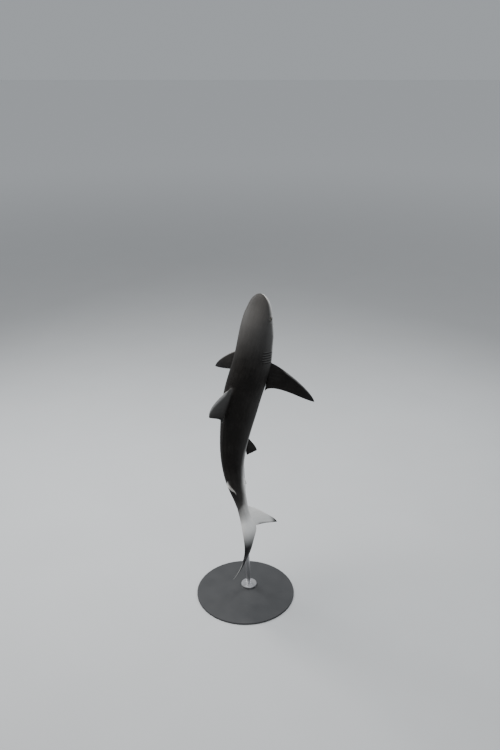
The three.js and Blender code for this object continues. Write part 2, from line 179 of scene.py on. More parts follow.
def natural_spline(knots, values):
    """The cubic curve through all knots with no bend at its ends.

    At each inner knot, with steps a before and b after, a times the bend before, 2(a + b)
    times this bend and b times the bend after add up to six times the change of slope."""
    step = np.diff(knots)
    slope = np.diff(values) / step
    system = np.eye(len(knots))
    inner = np.arange(1, len(knots) - 1)
    system[inner, inner - 1] = step[:-1]
    system[inner, inner] = 2 * (step[:-1] + step[1:])
    system[inner, inner + 1] = step[1:]
    bend = np.linalg.solve(system, np.r_[0, 6 * np.diff(slope), 0])

    def curve(x):
        x = np.clip(x, knots[0], knots[-1])
        i = np.clip(np.searchsorted(knots, x) - 1, 0, len(knots) - 2)
        a = (knots[i + 1] - x) / step[i]
        b = 1 - a
        curved = (a**3 - a) * bend[i] + (b**3 - b) * bend[i + 1]
        return a * values[i] + b * values[i + 1] + curved * step[i] ** 2 / 6

    return curve


def body_curve(column):
    """A column of the body table, splined over the root of the station."""
    spline = natural_spline(np.sqrt(BODY[:, 0]), BODY[:, column])
    return lambda station: spline(np.sqrt(np.maximum(station, 0)))


heading = natural_spline(SWIM_CURVE[:, 0], np.radians(SWIM_CURVE[:, 1]))
roll = natural_spline(SWIM_CURVE[:, 0], np.radians(SWIM_CURVE[:, 2]))
half_width, rise, drop = body_curve(1), body_curve(2), body_curve(3)
print("widest half width", round(float(half_width(np.linspace(0, 100, 400)).max()), 2), "%")

# %% [markdown]
# ## The middle line
# A swimming shark's backbone bends from side to side, and its body rolls about it. A straight
# body could be bent afterwards by a Curve modifier. Here many short steps backward along the
# forward direction add up to the middle line, as vertebrae add up to a spine, so the animal
# keeps its measured length and each section stands square to the line.

# %% Frames along the body


def directions(station):
    """Forward, right and up at each station.

    Forward climbs, then turns by the heading in a plane that is rolled by BEND_PLANE, and right
    and up roll about it."""
    x_axis, y_axis, z_axis = np.eye(3)
    forward, back = turned(y_axis, z_axis, CLIMB)
    side, _ = turned(x_axis, back, BEND_PLANE)
    ahead, across = turned(forward, side, heading(station)[..., None])
    twist = roll(station)[..., None] - BEND_PLANE
    return ahead, *turned(across, np.cross(across, ahead), twist)


STEPS = 500
SPINE_STATIONS = np.linspace(0, TAIL_TIP, STEPS + 1)
steps_back = directions((SPINE_STATIONS[1:] + SPINE_STATIONS[:-1]) / 2)[0]
SPINE = SNOUT_PLACE - np.r_[[[0, 0, 0]], steps_back.cumsum(0)] * PERCENT * TAIL_TIP / STEPS


def middle_line(station):
    """The middle line's point, straight on past the tail's tip."""
    at = np.stack([np.interp(station, SPINE_STATIONS, SPINE[:, k]) for k in range(3)], -1)
    past = np.maximum(station - TAIL_TIP, 0)[..., None] * PERCENT
    return at - directions(station)[0] * past


def in_body(station, right, up):
    """The point that lies right and up, in percent, of the middle line at a station."""
    _, across, above = directions(station)
    return middle_line(station) + (right[..., None] * across + up[..., None] * above) * PERCENT


print("tail tip at", np.round(SPINE[-1], 3).tolist())

# %% [markdown]
# ## The body's section
# A shark is wider than deep on its head and deeper than wide on its trunk, and its tail fin is a
# thin blade with a thick upper edge, where the backbone runs, and a sharp lower one. Head, trunk
# and blade could be pieces of their own, with joins to hide. One formula that blends an oval into
# a blade leaves nothing to join. Under the snout the oval is pressed flat.

# %% Plain skin
BLADE_EDGE = 0.035


def section(station, angle):
    """Right and up distances of the skin, in percent, at an angle from the back to the right.

    The oval is half width times sine, and rise or drop times cosine. The blade is a wing whose
    chord runs down from its upper to its lower edge."""
    cos, sin = np.cos(angle), np.sin(angle)
    flat = SNOUT_FLAT * (1 - smooth(station, *SNOUT_FLAT_ENDS))
    low = np.abs(cos) * (1 + flat * (1 - cos * cos))
    oval_up = np.where(cos > 0, rise(station) * cos, -drop(station) * low)
    chord = (1 - cos) / 2
    blade_up = rise(station) - chord * (rise(station) + drop(station))
    blade_half = wing(chord) * half_width(station) + BLADE_EDGE * np.abs(sin)
    blade = smooth(station, *BLADE_ENDS)
    right = mix(half_width(station) * sin, np.sign(sin) * blade_half, blade)
    return right, mix(oval_up, blade_up, blade)


def plain_skin(station, angle):
    """The skin's point before any relief."""
    station, angle = np.broadcast_arrays(np.asarray(station, float), np.asarray(angle, float))
    return in_body(station, *section(station, angle))


def outward(station, angle):
    """Unit vector out of the skin: its slope along the body crossed with its slope round it."""
    step = 1e-3
    along = plain_skin(station + step, angle) - plain_skin(np.maximum(station - step, 1e-4), angle)
    around = plain_skin(station, angle + step) - plain_skin(station, angle - step)
    normal = np.cross(along, around)
    return normal / np.maximum(np.linalg.norm(normal, axis=-1, keepdims=True), 1e-12)


print("the head is", round(2 * float(half_width(10.0)) * PERCENT, 3), "m wide behind the eyes")

# %% [markdown]
# ## One welded skin
# A shark has no seam where a fin meets the body. Fins could be joined on by a Boolean modifier,
# but that leaves a crease and sliver faces round each root, so the whole hide is one mesh. It
# starts as a grid of rows along the body and columns round it. Where an eye, a nostril or a fin
# stands, a window of faces is left out, and rings of new points grow from the window's own edge.
#
# Every point carries marks for the paint. Tone, shade and dusk give its colour, and one more
# mark is painted shade, which darkens a point in a crease or a cup. Shade lightens the back
# colour; on the head that is painted sunlight, and on the gill flaps' crests a painted highlight.
# Run and girth measure along and round the body, and flank is the height over the lateral line.

# %% The collector of points and faces
SKIN_MARKS = ("tone", "shade", "dusk", "fold", "run", "girth", "flank")


class Surface:
    """Collects points with their marks, and the faces between them, for one mesh."""

    def __init__(self, marks):
        self.points, self.faces, self.count = [], [], 0
        self.marks = {mark: [] for mark in marks}

    def add(self, points, **marks):
        """Add points of any grid shape and give back their numbers in the same shape."""
        shape = points.shape[:-1]
        self.points.append(points.reshape(-1, 3))
        for mark, values in self.marks.items():
            value = np.broadcast_to(np.asarray(marks.get(mark, 0.0), float), shape)
            values.append(value.ravel())
        ids = self.count + np.arange(int(np.prod(shape))).reshape(shape)
        self.count += ids.size
        return ids

    def mark_of(self, mark, ids):
        """The values of a mark at points that were added before."""
        return np.concatenate(self.marks[mark])[ids]

    def place_of(self, ids):
        """The places of points that were added before."""
        return np.concatenate(self.points)[ids]

    def quads(self, ids, keep=None):
        """Faces between neighbouring rows and columns of a grid of numbers."""
        corners = [ids[:-1, :-1], ids[1:, :-1], ids[1:, 1:], ids[:-1, 1:]]
        faces = np.stack(corners, -1)
        self.faces.append(faces[keep] if keep is not None else faces.reshape(-1, 4))

    def rings(self, ids):
        """Faces between rings of numbers, each ring closed on itself."""
        self.quads(np.concatenate([ids, ids[:, :1]], 1).T)

    def pole(self, ring, apex):
        """Triangles from a ring to one point that closes it."""
        after = np.roll(ring, -1)
        self.faces.append(np.stack([ring, after, np.full_like(ring, apex)], -1))

    def mesh(self, name):
        """Put everything into one mesh object, shaded smooth."""
        mesh = bpy.data.meshes.new(name)
        points = np.concatenate(self.points)
        sizes = np.concatenate([np.full(len(f), f.shape[1]) for f in self.faces])
        corners = np.concatenate([f.ravel() for f in self.faces])
        mesh.vertices.add(len(points))
        mesh.vertices.foreach_set("co", points.ravel())
        mesh.loops.add(len(corners))
        mesh.loops.foreach_set("vertex_index", corners.astype(np.int32))
        mesh.polygons.add(len(sizes))
        mesh.polygons.foreach_set("loop_start", np.r_[0, sizes.cumsum()[:-1]].astype(np.int32))
        mesh.update(calc_edges=True)
        mesh.validate()
        mesh.shade_smooth()
        for mark, values in self.marks.items():
            layer = mesh.attributes.new(mark, "FLOAT", "POINT")
            layer.data.foreach_set("value", np.concatenate(values).astype(np.float32))
        return add_object(name, mesh)


skin = Surface(SKIN_MARKS)
print("marks on every point:", ", ".join(SKIN_MARKS))

# %% [markdown]
# ## Mouth and gill slits as rows of the grid
# The closed mouth is a lipped fold under the head, and five gill flaps on each side lie over
# their slits. The paint's bump could draw them, but it casts no shadow and has no outline. A
# fold of the mesh is crisp only when there are lines along it. So each fold has its own rows,
# close together in its valley, and the rows bend to follow it.
#
# A fold's section is a small table: how far behind its line a row lies, how high it is lifted,
# and how far it slides along the body. A slide under a lifted lip makes a true overhang, as a
# gill flap has.

# %% Folds that the rows follow
COLUMNS = 128
PITCH = 2 * math.pi / COLUMNS
# The fade is how far round past its corners the mouth still bends the rows, and the ends are
# the stations from which the rows run straight.
MOUTH = {
    "front": 7.2, "corner": 11.9, "half_angle": math.radians(51.4), "row": 9.6,
    "fade": np.radians([1, 36]), "ends": (4.6, 15.6),
}
# Top and bottom are degrees from the back.
GILLS = {
    "first": 16.5, "spacing": 0.72, "count": 5, "top": 61, "bottom": 112,
    "bow": 0.5, "ends": (15.2, 16.3, 19.7, 21.0),
}

# behind the line, lift, slide (percent)
LIP_SECTION = np.array([
    [-1.5, 0, 0], [-0.9, 0.03, 0], [-0.62, 0.055, 0], [-0.52, 0.065, 0],
    [-0.45, 0.07, 0], [-0.38, 0.075, 0], [-0.28, 0.085, 0], [-0.18, 0.09, 0],
    [-0.09, 0.07, 0.01], [-0.03, 0.02, 0.03], [0, -0.07, 0.01], [0.03, -0.2, -0.06],
    [0.07, -0.24, -0.08], [0.12, -0.18, -0.03], [0.17, -0.06, 0], [0.24, 0.03, 0],
    [0.34, 0.08, 0], [0.5, 0.11, 0], [0.75, 0.1, 0], [1.1, 0.07, 0], [1.8, 0.04, 0],
    [3, 0, 0],
])
FLAP_SECTION = np.array([
    [-0.36, 0, 0], [-0.2, 0.03, 0], [-0.1, 0.075, 0], [-0.03, 0.1, 0],
    [0.01, 0.07, 0.03], [0.03, -0.03, 0.02], [0.05, -0.2, -0.05], [0.08, -0.34, -0.08],
    [0.12, -0.36, -0.02], [0.16, -0.2, 0], [0.2, -0.06, 0], [0.26, 0, 0],
])

gill_lines = GILLS["first"] + GILLS["spacing"] * np.arange(GILLS["count"])
fold_rows = np.r_[
    MOUTH["row"] + LIP_SECTION[:, 0],
    (gill_lines[:, None] + FLAP_SECTION[:, 0]).ravel(),
]

# station, spacing of the rows there (percent)
SPACING = np.array([
    [0, 0.035], [0.5, 0.075], [3.4, 0.15], [8, 0.16], [13, 0.2], [20, 0.21], [27.5, 0.27],
    [45, 0.32], [62, 0.26], [74, 0.24], [82, 0.28], [TAIL_TIP, 0.36],
])
# the count of the fine stations, about how far apart they are, the least gap beside a fold's
# row, and the first two stations
FINE_STATIONS, FINE_STEP, LEAST_GAP = 4001, 0.025, 0.07
FIRST_ROW, SECOND_ROW = 0.018, 0.03

fine = np.linspace(0, TAIL_TIP, FINE_STATIONS)
share = np.cumsum(1 / read_table(SPACING, fine))
even = np.interp(np.linspace(share[0], share[-1], int(share[-1] * FINE_STEP)), share, fine)
even = even[np.abs(even[:, None] - fold_rows).min(1) > LEAST_GAP]
rows = np.sort(np.r_[even, fold_rows])
rows = np.r_[FIRST_ROW, rows[rows > SECOND_ROW]]
columns = np.arange(COLUMNS) * PITCH
print(f"{len(rows)} rows by {COLUMNS} columns")

# %% [markdown]
# The mouth is a parabola under the head. Its rows could be bent column by column, but one square
# law bends them all, and beyond the corners they swing home over the cheek. Each gill line is
# bowed a little, with both ends further back than its middle.

# %% Bend the rows


def below(angle):
    """Angle from the middle of the belly, positive on both sides."""
    return np.abs((angle + 2 * math.pi) % (2 * math.pi) - math.pi)


def from_back(angle):
    """Angle from the middle of the back, positive on both sides."""
    return math.pi - below(angle)


def back_degrees(angle):
    """Degrees from the middle of the back: 90 on the flank and 180 under the belly."""
    return np.degrees(from_back(angle))


def mouth_line(angle):
    """Station of the mouth: front plus a square law of the sine, which peaks at the corners."""
    reach = np.minimum(below(angle), MOUTH["half_angle"])
    arch = (np.sin(reach) / math.sin(MOUTH["half_angle"])) ** 2
    return MOUTH["front"] + (MOUTH["corner"] - MOUTH["front"]) * arch


def mouth_shift(row, angle):
    """How far a row moves back: the whole way on the mouth's own row, and less away from it."""
    own, (start, end) = MOUTH["row"], MOUTH["ends"]
    across = 1 - smooth(below(angle) - MOUTH["half_angle"], *MOUTH["fade"])
    return (mouth_line(angle) - own) * across * hump(row, start, own, own, end)


def gill_shift(row, angle):
    """The bow of the gill lines: a square law of the height from their middle."""
    height = (back_degrees(angle) - GILLS["top"]) / (GILLS["bottom"] - GILLS["top"])
    return GILLS["bow"] * np.clip(height - 0.5, -0.8, 0.8) ** 2 * hump(row, *GILLS["ends"])


def gill_reach(angle, index):
    """1 along a gill line and 0 beyond its ends. The last slit is 5 degrees shorter each way."""
    short = 5 * (index == GILLS["count"] - 1)
    top, bottom = GILLS["top"] + short, GILLS["bottom"] - short
    return hump(back_degrees(angle), top - 1, top + 7, bottom - 7, bottom + 1)


ROW, ANGLE = np.meshgrid(rows, columns, indexing="ij")
print("mouth from", MOUTH["front"], "to", MOUTH["corner"], "% of the length")

# %% [markdown]
# ## Relief
# A silky shark has low brows, a jaw muscle, a ridge between its back fins, a notch ahead of its
# tail, and a vent. They could be pushed up with a sculpting brush. Here each is a lift of the
# skin along its own normal with a named height, place and spread, so one can be changed without
# touching the rest.

# %% Lift and slide of every grid point
# the depths, in percent, from which a fold looks shaded and at which it is fully dark
SHADED_DEPTHS = (0.02, 0.16)

# the furrow across the mouth's corners: depth, how far behind the mouth's line and half width in
# percent, and half spread round the body in radians
FURROW_DEPTH, FURROW_BEHIND, FURROW_WIDTH, FURROW_SPREAD = 0.2, -0.45, 0.075, 0.11

# height, stations of the hump, degrees from the back, half spread
LONG_FORMS = {
    "ridge": (0.1, (41.5, 44.5, 61.0, 62.6), 0, 2.6),
    "vent": (-0.3, (51.3, 51.7, 52.9, 53.3), 180, 3.2),
}
# height, station, half length, degrees from the back, half spread
SOFT_FORMS = {
    "brow": (0.1, 6.7, 1.6, 66, 13),
    "jaw muscle": (0.12, 12.6, 2.2, 104, 20),
    "throat": (-0.12, 15.0, 1.6, 180, 30),
    "nape": (0.08, 15.5, 3.0, 0, 30),
    "notch above": (-0.26, 72.45, 0.34, 0, 26),
    "notch below": (-0.12, 72.2, 0.3, 180, 26),
}


def fold_relief(row, angle):
    """Lift and slide of the skin in its folds, the painted shade of each point in a crease, and the
    painted highlight on a gill flap's crest.

    Mouth and gill slits read their sections at the row's distance behind their lines. A furrow
    crosses the mouth's corners, and a band of painted shade follows each gill flap."""
    under, half = below(angle), MOUTH["half_angle"]
    share = 1 - smooth(under, half - 0.1, half + 0.04)
    behind = row - MOUTH["row"]
    lift = read_table(LIP_SECTION, behind) * share
    slide = read_table(LIP_SECTION, behind, 2) * share
    crossing = bell(under, half - 0.02, FURROW_SPREAD)
    furrow = FURROW_DEPTH * bell(behind, FURROW_BEHIND, FURROW_WIDTH) * crossing
    # painted shade in the mouth's fold and in the furrows across its corners
    crease_shade_amount = np.maximum(smooth(-lift, *SHADED_DEPTHS), smooth(furrow, 0.03, 0.2))
    lift = lift - furrow
    crest_highlight = 0 * lift
    for index, line in enumerate(gill_lines):
        share, behind = gill_reach(angle, index), row - line
        flap = read_table(FLAP_SECTION, behind) * share
        lift = lift + flap
        slide = slide + read_table(FLAP_SECTION, behind, 2) * share
        shade_band = 0.8 * hump(behind, 0, 0.06, 0.24, 0.36) * share
        crease_shade_amount = np.maximum(crease_shade_amount, np.maximum(smooth(-flap, *SHADED_DEPTHS), shade_band))
        # a gill flap's raised crest is painted lighter: a painted highlight
        crest_highlight = np.maximum(crest_highlight, smooth(flap, 0.02, 0.09))
    return lift, slide, crease_shade_amount, crest_highlight


def form_relief(station, angle):
    """Lift of the soft forms: humps or bells along the body, times bells round it."""
    degrees = back_degrees(angle)
    lift = 0 * degrees
    for height, ends, middle, spread in LONG_FORMS.values():
        lift = lift + height * hump(station, *ends) * bell(degrees, middle, spread)
    for height, place, length, middle, spread in SOFT_FORMS.values():
        lift = lift + height * bell(station, place, length) * bell(degrees, middle, spread)
    return lift


def relief_skin(row, angle):
    """The skin's point with its relief, its station, its painted shade in the folds and its painted
    highlight on the gill flaps' crests.
    """
    lift, slide, crease_shade_amount, crest_highlight = fold_relief(row, angle)
    station = row + mouth_shift(row, angle) + gill_shift(row, angle)
    lift = lift + form_relief(station, angle)
    moved = np.maximum(station + slide, 0.01)
    points = plain_skin(moved, angle) + outward(moved, angle) * lift[..., None] * PERCENT
    return points, station, crease_shade_amount, crest_highlight


lowest = float(fold_relief(ROW, ANGLE)[0].min()) * PERCENT
print("deepest fold", round(lowest * 1000, 1), "mm")

# %% [markdown]
# ## Countershading
# A silky shark is dark above and white below, with a soft border along the flank. Seen from above
# it melts into the deep, and seen from below into the bright surface. The pattern could be
# painted on an image over the unfolded skin, but such an image has seams and blurs close up, so
# the points carry it. Tone is 0 on the border, positive towards the back and negative towards
# the belly, and the paint makes the border ragged later. Near the tail the border climbs over
# the back, so most of the tail is pale.

# %% Tone of the body
# station, angle of the border from the back, softness (degrees)
BORDER = np.array([
    [0, 90, 22], [4, 93, 22], [9, 100, 20], [16, 110, 18], [21, 121, 14], [27, 131, 13],
    [33, 136, 13], [40, 134, 14], [47, 129, 18], [54, 122, 26], [62, 118, 32], [69, 111, 38],
    [71.5, 106, 50], [74.5, 86, 170], [76, 30, 170], [78, -90, 150], [84, -20, 60],
    [88, 20, 50], [91, -20, 50], [101, -60, 50],
])


def body_tone(station, angle):
    """Distance from the border towards the back, in units of the border's softness."""
    border, soft = read_table(BORDER, station), read_table(BORDER, station, 2)
    return np.clip((border - back_degrees(angle)) / soft, -4, 4)


def tail_dusk(station, angle):
    """The dusky rear edge of the upper tail lobe and its dark end with a pale upper edge."""
    rear_edge = 0.6 * bell(below(angle), 0, 0.3) * smooth(station, 79, 84)
    upper_edge = 1 - smooth(back_degrees(angle), 5, 25)
    pale = 0.6 * smooth(station, 90.5, 93.5) * upper_edge
    return np.clip(rear_edge + smooth(station, 78.5, 87) * (1 - pale), 0, 1)


# station, lightness of the back there; the lighter head is painted sunlight
SHADE = np.array([
    [0, 0.25], [4, 0.44], [9, 0.55], [13, 0.42], [17, 0.2], [22, 0.03], [34, 0], [58, 0],
    [66, 0.1], [70, 0.2], [74, 0.8], [84, 0.8], [94, 0.2], [101, 0.9],
])
# station, how much lighter the flank is there
FLANK_SHADE = np.array([
    [0, 0.2], [6, 0.4], [10, 0.8], [18, 0.8], [24, 0.08], [34, 0.15], [66, 0.3],
])
# station, degrees of the lateral line from the back
LATERAL_LINE = np.array([
    [0, 60], [8, 62], [14, 66], [24, 74], [60, 84], [73, 88],
])
# the flank mark of a point that is nowhere near the lateral line
NO_LINE = 5.0
# how much lighter a gill flap's crest is painted: a painted highlight
CREST_HIGHLIGHT_SHARE = 0.6


def body_shade(station, angle):
    """Lightness of the back colour: a table, lighter on the head as painted sunlight, and more on
    the flank, most of all at the gills.
    """
    flank = read_table(FLANK_SHADE, station) * smooth(back_degrees(angle), 55, 105)
    return np.clip(read_table(SHADE, station) + flank, 0, 1)


def lateral_height(station, angle):
    """Height above the lateral line, in percent. The line dips from the nape to mid flank."""
    away = np.radians(read_table(LATERAL_LINE, station) - back_degrees(angle)) * half_width(station)
    return np.where((station > 8) & (station < 74), away, NO_LINE)


def body_marks(station, angle):
    """All marks of a point that lies on the body."""
    return {
        "tone": body_tone(station, angle),
        "shade": body_shade(station, angle),
        "dusk": tail_dusk(station, angle),
        "run": station,
        "girth": from_back(angle) * half_width(station),
        "flank": lateral_height(station, angle),
    }


POINTS, STATION, CREASE_SHADE_AMOUNT, CREST_HIGHLIGHT = relief_skin(ROW, ANGLE)
grid_marks = body_marks(STATION, ANGLE)
# the gill flaps' crests are painted lighter: a painted highlight
grid_marks["shade"] = np.clip(grid_marks["shade"] + CREST_HIGHLIGHT_SHARE * CREST_HIGHLIGHT, 0, 1)
# creases are darkened with painted shade
grid = skin.add(POINTS, fold=CREASE_SHADE_AMOUNT, **grid_marks)
open_faces = np.ones((len(rows) - 1, COLUMNS), bool)

zero = np.zeros(1)
snout = skin.add(middle_line(zero), **body_marks(zero, zero))
tail_point = in_body(zero + TAIL_TIP + 0.12, zero, zero - 0.09)
tail = skin.add(tail_point, tone=2, dusk=1, run=TAIL_TIP)
skin.pole(grid[0], snout[0])
skin.pole(grid[-1][::-1], tail[0])
print("body grid has", grid.size, "points")

# %% [markdown]
# ## Windows in the grid
# The skin has to open where a fin or an eye stands. It could be cut along the true outline of the
# fin's root, but then the points on the two edges wouldn't match. So a window is a block of
# faces between two rows and two columns. Its edge is read from the middle of its front side,
# down one flank, across the rear and up the other flank. A fin's section is read the same way,
# so the two rings meet point by point.

# %% Cut a window


def cut_window(first_row, last_row, first_column, last_column):
    """Leave a block of faces out and give back the numbers of its edge."""
    across = np.arange(first_column, last_column + 1)
    down = np.arange(first_row, last_row + 1)
    middle = len(across) // 2
    open_faces[np.ix_(down[:-1], across[:-1] % COLUMNS)] = False
    sides = [
        (first_row, across[middle:0:-1]),
        (down[:-1], first_column),
        (last_row, across[:-1]),
        (down[:0:-1], last_column),
        (first_row, across[:middle:-1]),
    ]
    return np.concatenate([grid[row, column % COLUMNS] for row, column in sides])


def window_round(stations, angles, margin):
    """The smallest window that clears a patch by a margin: front, rear and sides, in percent."""
    front, rear, sides = margin
    first_row = np.searchsorted(rows, stations.min() - front) - 1
    last_row = np.searchsorted(rows, stations.max() + rear)
    middle = round(float((angles.max() + angles.min()) / 2) / PITCH)
    spread = (angles.max() - angles.min()) / 2 + sides / float(half_width(stations.mean()))
    half = math.ceil(spread / PITCH)
    return first_row, last_row, middle - half, middle + half


print("columns are", round(360 / COLUMNS, 2), "degrees apart")

# %% [markdown]
# ## Fins
# A shark's fin is a stiff wing with a round nose, a thin rear edge and a free tip behind its
# base. A flat outline could be thickened by a Solidify modifier, but it would be as thick at the
# tip as at the root. So each fin has two curves from its root to its tip, the leading and the
# trailing edge, and every row that joins them carries a section of its own.

# %% Fin measures
# The lead and trail handles are the two middle ones of each edge's curve: along, then out.
FIRST_DORSAL = {
    "station": 29.9, "base": 9.0, "apex": (9.35, 6.75), "rear_tip": (12.8, 0.7), "thick": 0.52,
    "lead": [(1.5, 3.0), (5.4, 8.2)], "trail": [(10.4, 1.2), (10.3, 5.2)], "lean": 0,
}
SECOND_DORSAL = {
    "station": 62.9, "base": 2.7, "apex": (3.3, 1.45), "rear_tip": (5.3, 0.75), "thick": 0.18,
    "lead": [(1.0, 0.7), (2.1, 1.5)], "trail": [(4.3, 0.7), (3.5, 0.85)], "lean": 2.7,
}
ANAL = {
    "station": 62.0, "base": 3.2, "apex": (3.6, 1.65), "rear_tip": (5.8, 0.42), "thick": 0.24,
    "lead": [(1.0, 0.75), (2.3, 1.7)], "trail": [(4.2, 0.5), (3.5, 0.75)], "lean": 0,
}
LOWER_LOBE = {
    "station": 72.3, "base": 7.0, "apex": (8.15, 8.65), "rear_tip": (7.2, 0.4), "thick": 0.42,
    "lead": [(1.5, 3.3), (4.2, 5.9)], "trail": [(6.8, 2.4), (7.7, 6.2)], "lean": 0,
}
PECTORAL = {
    "station": 20.2, "base": 5.7, "apex": (11.1, 15.7), "rear_tip": (10.3, 0.45), "thick": 0.62,
    "lead": [(1.1, 5.2), (8.3, 15.0)], "trail": [(6.4, 3.0), (10.6, 10.4)],
    "angle": 118, "droop": {-1: 8, 1: 38}, "sweep": {-1: 9, 1: -4}, "attack": 3, "curl": 0.9,
    "tuck": {-1: 1.6, 1: -1.1},
}
PELVIC = {
    "station": 48.9, "base": 4.3, "apex": (3.7, 2.9), "rear_tip": (5.8, 0.6), "thick": 0.3,
    "lead": [(1.0, 1.1), (2.5, 2.9)], "trail": [(4.8, 1.2), (4.2, 2.0)],
    "angle": 138, "droop": {-1: 34, 1: 34}, "sweep": {-1: 0, 1: 0}, "attack": 0, "curl": 0.2,
    "tuck": {-1: -0.5, 1: -0.7},
}
# the share of a fin's rows that end on the inner margin, and the half thickness of its edge
INNER_SHARE, FIN_EDGE = 0.2, 0.03

# %% [markdown]
# A fin is thickest a third of the way back. Its section could be drawn by hand at each row, but
# one wing formula serves them all, with a little added along the edge so that the thin part can
# still be cast. The rows stand closer together near the root and the tip, where the form turns.

# %% Rows and sections of a fin


def fin_edges(fin, t):
    """Along and out of the leading and the trailing edge at each row t.

    The trailing edge first runs from the base's rear end to the free rear tip, and then along
    its own curve to the apex."""
    front = bezier([(0, 0), *fin["lead"], fin["apex"]], t)
    inner = np.clip(t / INNER_SHARE, 0, 1)
    tip_along, tip_out = fin["rear_tip"]
    margin = np.stack([mix(fin["base"], tip_along, inner), tip_out * inner**1.5], -1)
    outer = np.clip((t - INNER_SHARE) / (1 - INNER_SHARE), 0, 1)
    trailing = bezier([fin["rear_tip"], *fin["trail"], fin["apex"]], outer)
    return front, np.where(t[..., None] < INNER_SHARE, margin, trailing)


def fin_half(fin, t, chord):
    """Half thickness: a wing times the 0.7th power of the way left to the tip, plus an edge.

    Up to 0.3 of the way the wing is thicker, by a third at the root."""
    slim = (1 - t) ** 0.7 * (0.75 + 0.25 * (1 - smooth(t, 0, 0.3)))
    edge = FIN_EDGE * np.sqrt(np.maximum(0, 4 * chord * (1 - chord)))
    return fin["thick"] * slim * wing(chord) + edge


def fin_ring(count):
    """Share of the chord and side of each point of a section, nose first and home again."""
    half = count // 2
    x = np.r_[np.arange(half) / half, 1 - np.arange(half) / half]
    return (1 - np.cos(math.pi * x)) / 2, np.r_[np.ones(half), -np.ones(half)]


def fin_sheet(fin, t, count, first_side):
    """Along, out, thickness, share of the chord and side of every point of the rows t."""
    chord, side = fin_ring(count)
    front, rear = fin_edges(fin, t)
    along = mix(front[:, None, 0], rear[:, None, 0], chord)
    out = mix(front[:, None, 1], rear[:, None, 1], chord)
    thick = fin_half(fin, t[:, None], chord) * side * first_side
    return along, out, thick, chord, np.broadcast_to(side * first_side, thick.shape)


FIN_ROWS = np.r_[
    np.array([0.015, 0.034, 0.056, 0.08, 0.105, 0.13, 0.155, 0.18]),
    np.linspace(0.2, 0.9, 25),
    np.array([0.925, 0.945, 0.96, 0.973, 0.984, 0.993]),
]
print(f"{len(FIN_ROWS)} rows on each fin")

# %% [markdown]
# Fins on the middle plane could be made flat and turned into place, but the body bends under
# them, so they bend with its frames. Each paired fin lies on a plane that droops from the flank,
# sweeps back and tips, and its tip curls down a little.

# %% Place a fin
MENDS, HALVINGS, FARTHEST_ROOT = 6, 24, 3.0


def on_middle(fin, above):
    """Places points of a fin on the back (above = 1) or on the belly (above = -1)."""
    level = rise if above > 0 else drop

    def place(along, out, thick):
        station = fin["station"] + along
        sway = fin["lean"] * smooth(along, 0.5, fin["rear_tip"][0])
        off_middle = np.clip(thick / half_width(station), -0.9, 0.9)
        sunk = level(station) * (1 - np.sqrt(1 - off_middle**2))
        up = above * (level(station) + out - sunk * (1 - smooth(out, 0, 1)))
        return in_body(station, thick + sway, up)

    return place


def on_side(fin, side):
    """Places points of a paired fin, on the right (side = 1) or on the left (side = -1)."""
    start = np.array([fin["station"]])
    root = plain_skin(start, np.radians([side * fin["angle"]]))[0]
    ahead, right, up = (v[0] for v in directions(start + fin["base"] / 2))
    span, top = turned(right * side, up, -math.radians(fin["droop"][side]))
    rearward, normal = turned(-ahead, top, -math.radians(fin["attack"]))

    def place(along, out, thick):
        curl = -fin["curl"] * np.maximum(0, out / fin["apex"][1]) ** 2
        back, reach = turned(along, out, math.radians(fin["sweep"][side]))
        near = 1 - smooth(out, 0.6 * fin["rear_tip"][1], 0.6 * fin["apex"][1])
        tuck = fin["tuck"][side] * smooth(along, 0, fin["rear_tip"][0]) * near
        steps = back[..., None] * rearward + (reach + tuck)[..., None] * span
        return root + (steps + (thick + curl)[..., None] * normal) * PERCENT

    return place


def body_place(points, station):
    """Station and angle of points near the body, and how far out they are, 1 on the skin.

    The station is mended by how far ahead or behind the point lies of its frame."""
    for _ in range(MENDS):
        offset = points - middle_line(station)
        ahead, right, up = directions(station)
        station = station - (offset * ahead).sum(-1) / PERCENT
    across, above = (offset * right).sum(-1) / PERCENT, (offset * up).sum(-1) / PERCENT
    across = across / half_width(station)
    above = above / np.where(above > 0, rise(station), drop(station))
    return station, np.arctan2(across, above), np.hypot(across, above)


def root_reach(fin, place, along, thick):
    """How far out each line of a fin leaves the body.

    A fin on the middle plane starts at the skin. For a paired fin an interval is halved again
    and again round the place where the line comes out."""
    if "angle" not in fin:
        return 0 * along
    low, high = 0 * along - FARTHEST_ROOT, 0 * along + FARTHEST_ROOT
    for _ in range(HALVINGS):
        middle = (low + high) / 2
        inside = body_place(place(along, middle, thick), fin["station"] + along)[2] < 1
        low, high = np.where(inside, middle, low), np.where(inside, high, middle)
    return (low + high) / 2


print("fin places ready")

# %% [markdown]
# ## Growing a fin out of the skin
# On the animal the skin runs up the fin in a smooth hollow. A Bevel modifier could round a sharp
# join, but then there has to be one first. So the first rings are a fillet. Each of its lines is
# a quadratic curve from the window's edge, by the point where the fin's face meets the skin, to
# the fin's first row. It is tangent to the body at one end and to the fin at the other. The
# fin's own rows follow, closed at the tip.

# %% Grow a fin
FILLET = np.array([0.16, 0.33, 0.5, 0.68, 0.86])[:, None]
# how far out of the body a fin's rows still follow the line where its root meets the skin
SETTLED = 1.6
# how much of the fin's lightness its lower or left face keeps, so that face is painted darker:
# a painted shade
SHADED_FACE_SHARE = 0.3
ROOT_POINTS = 60


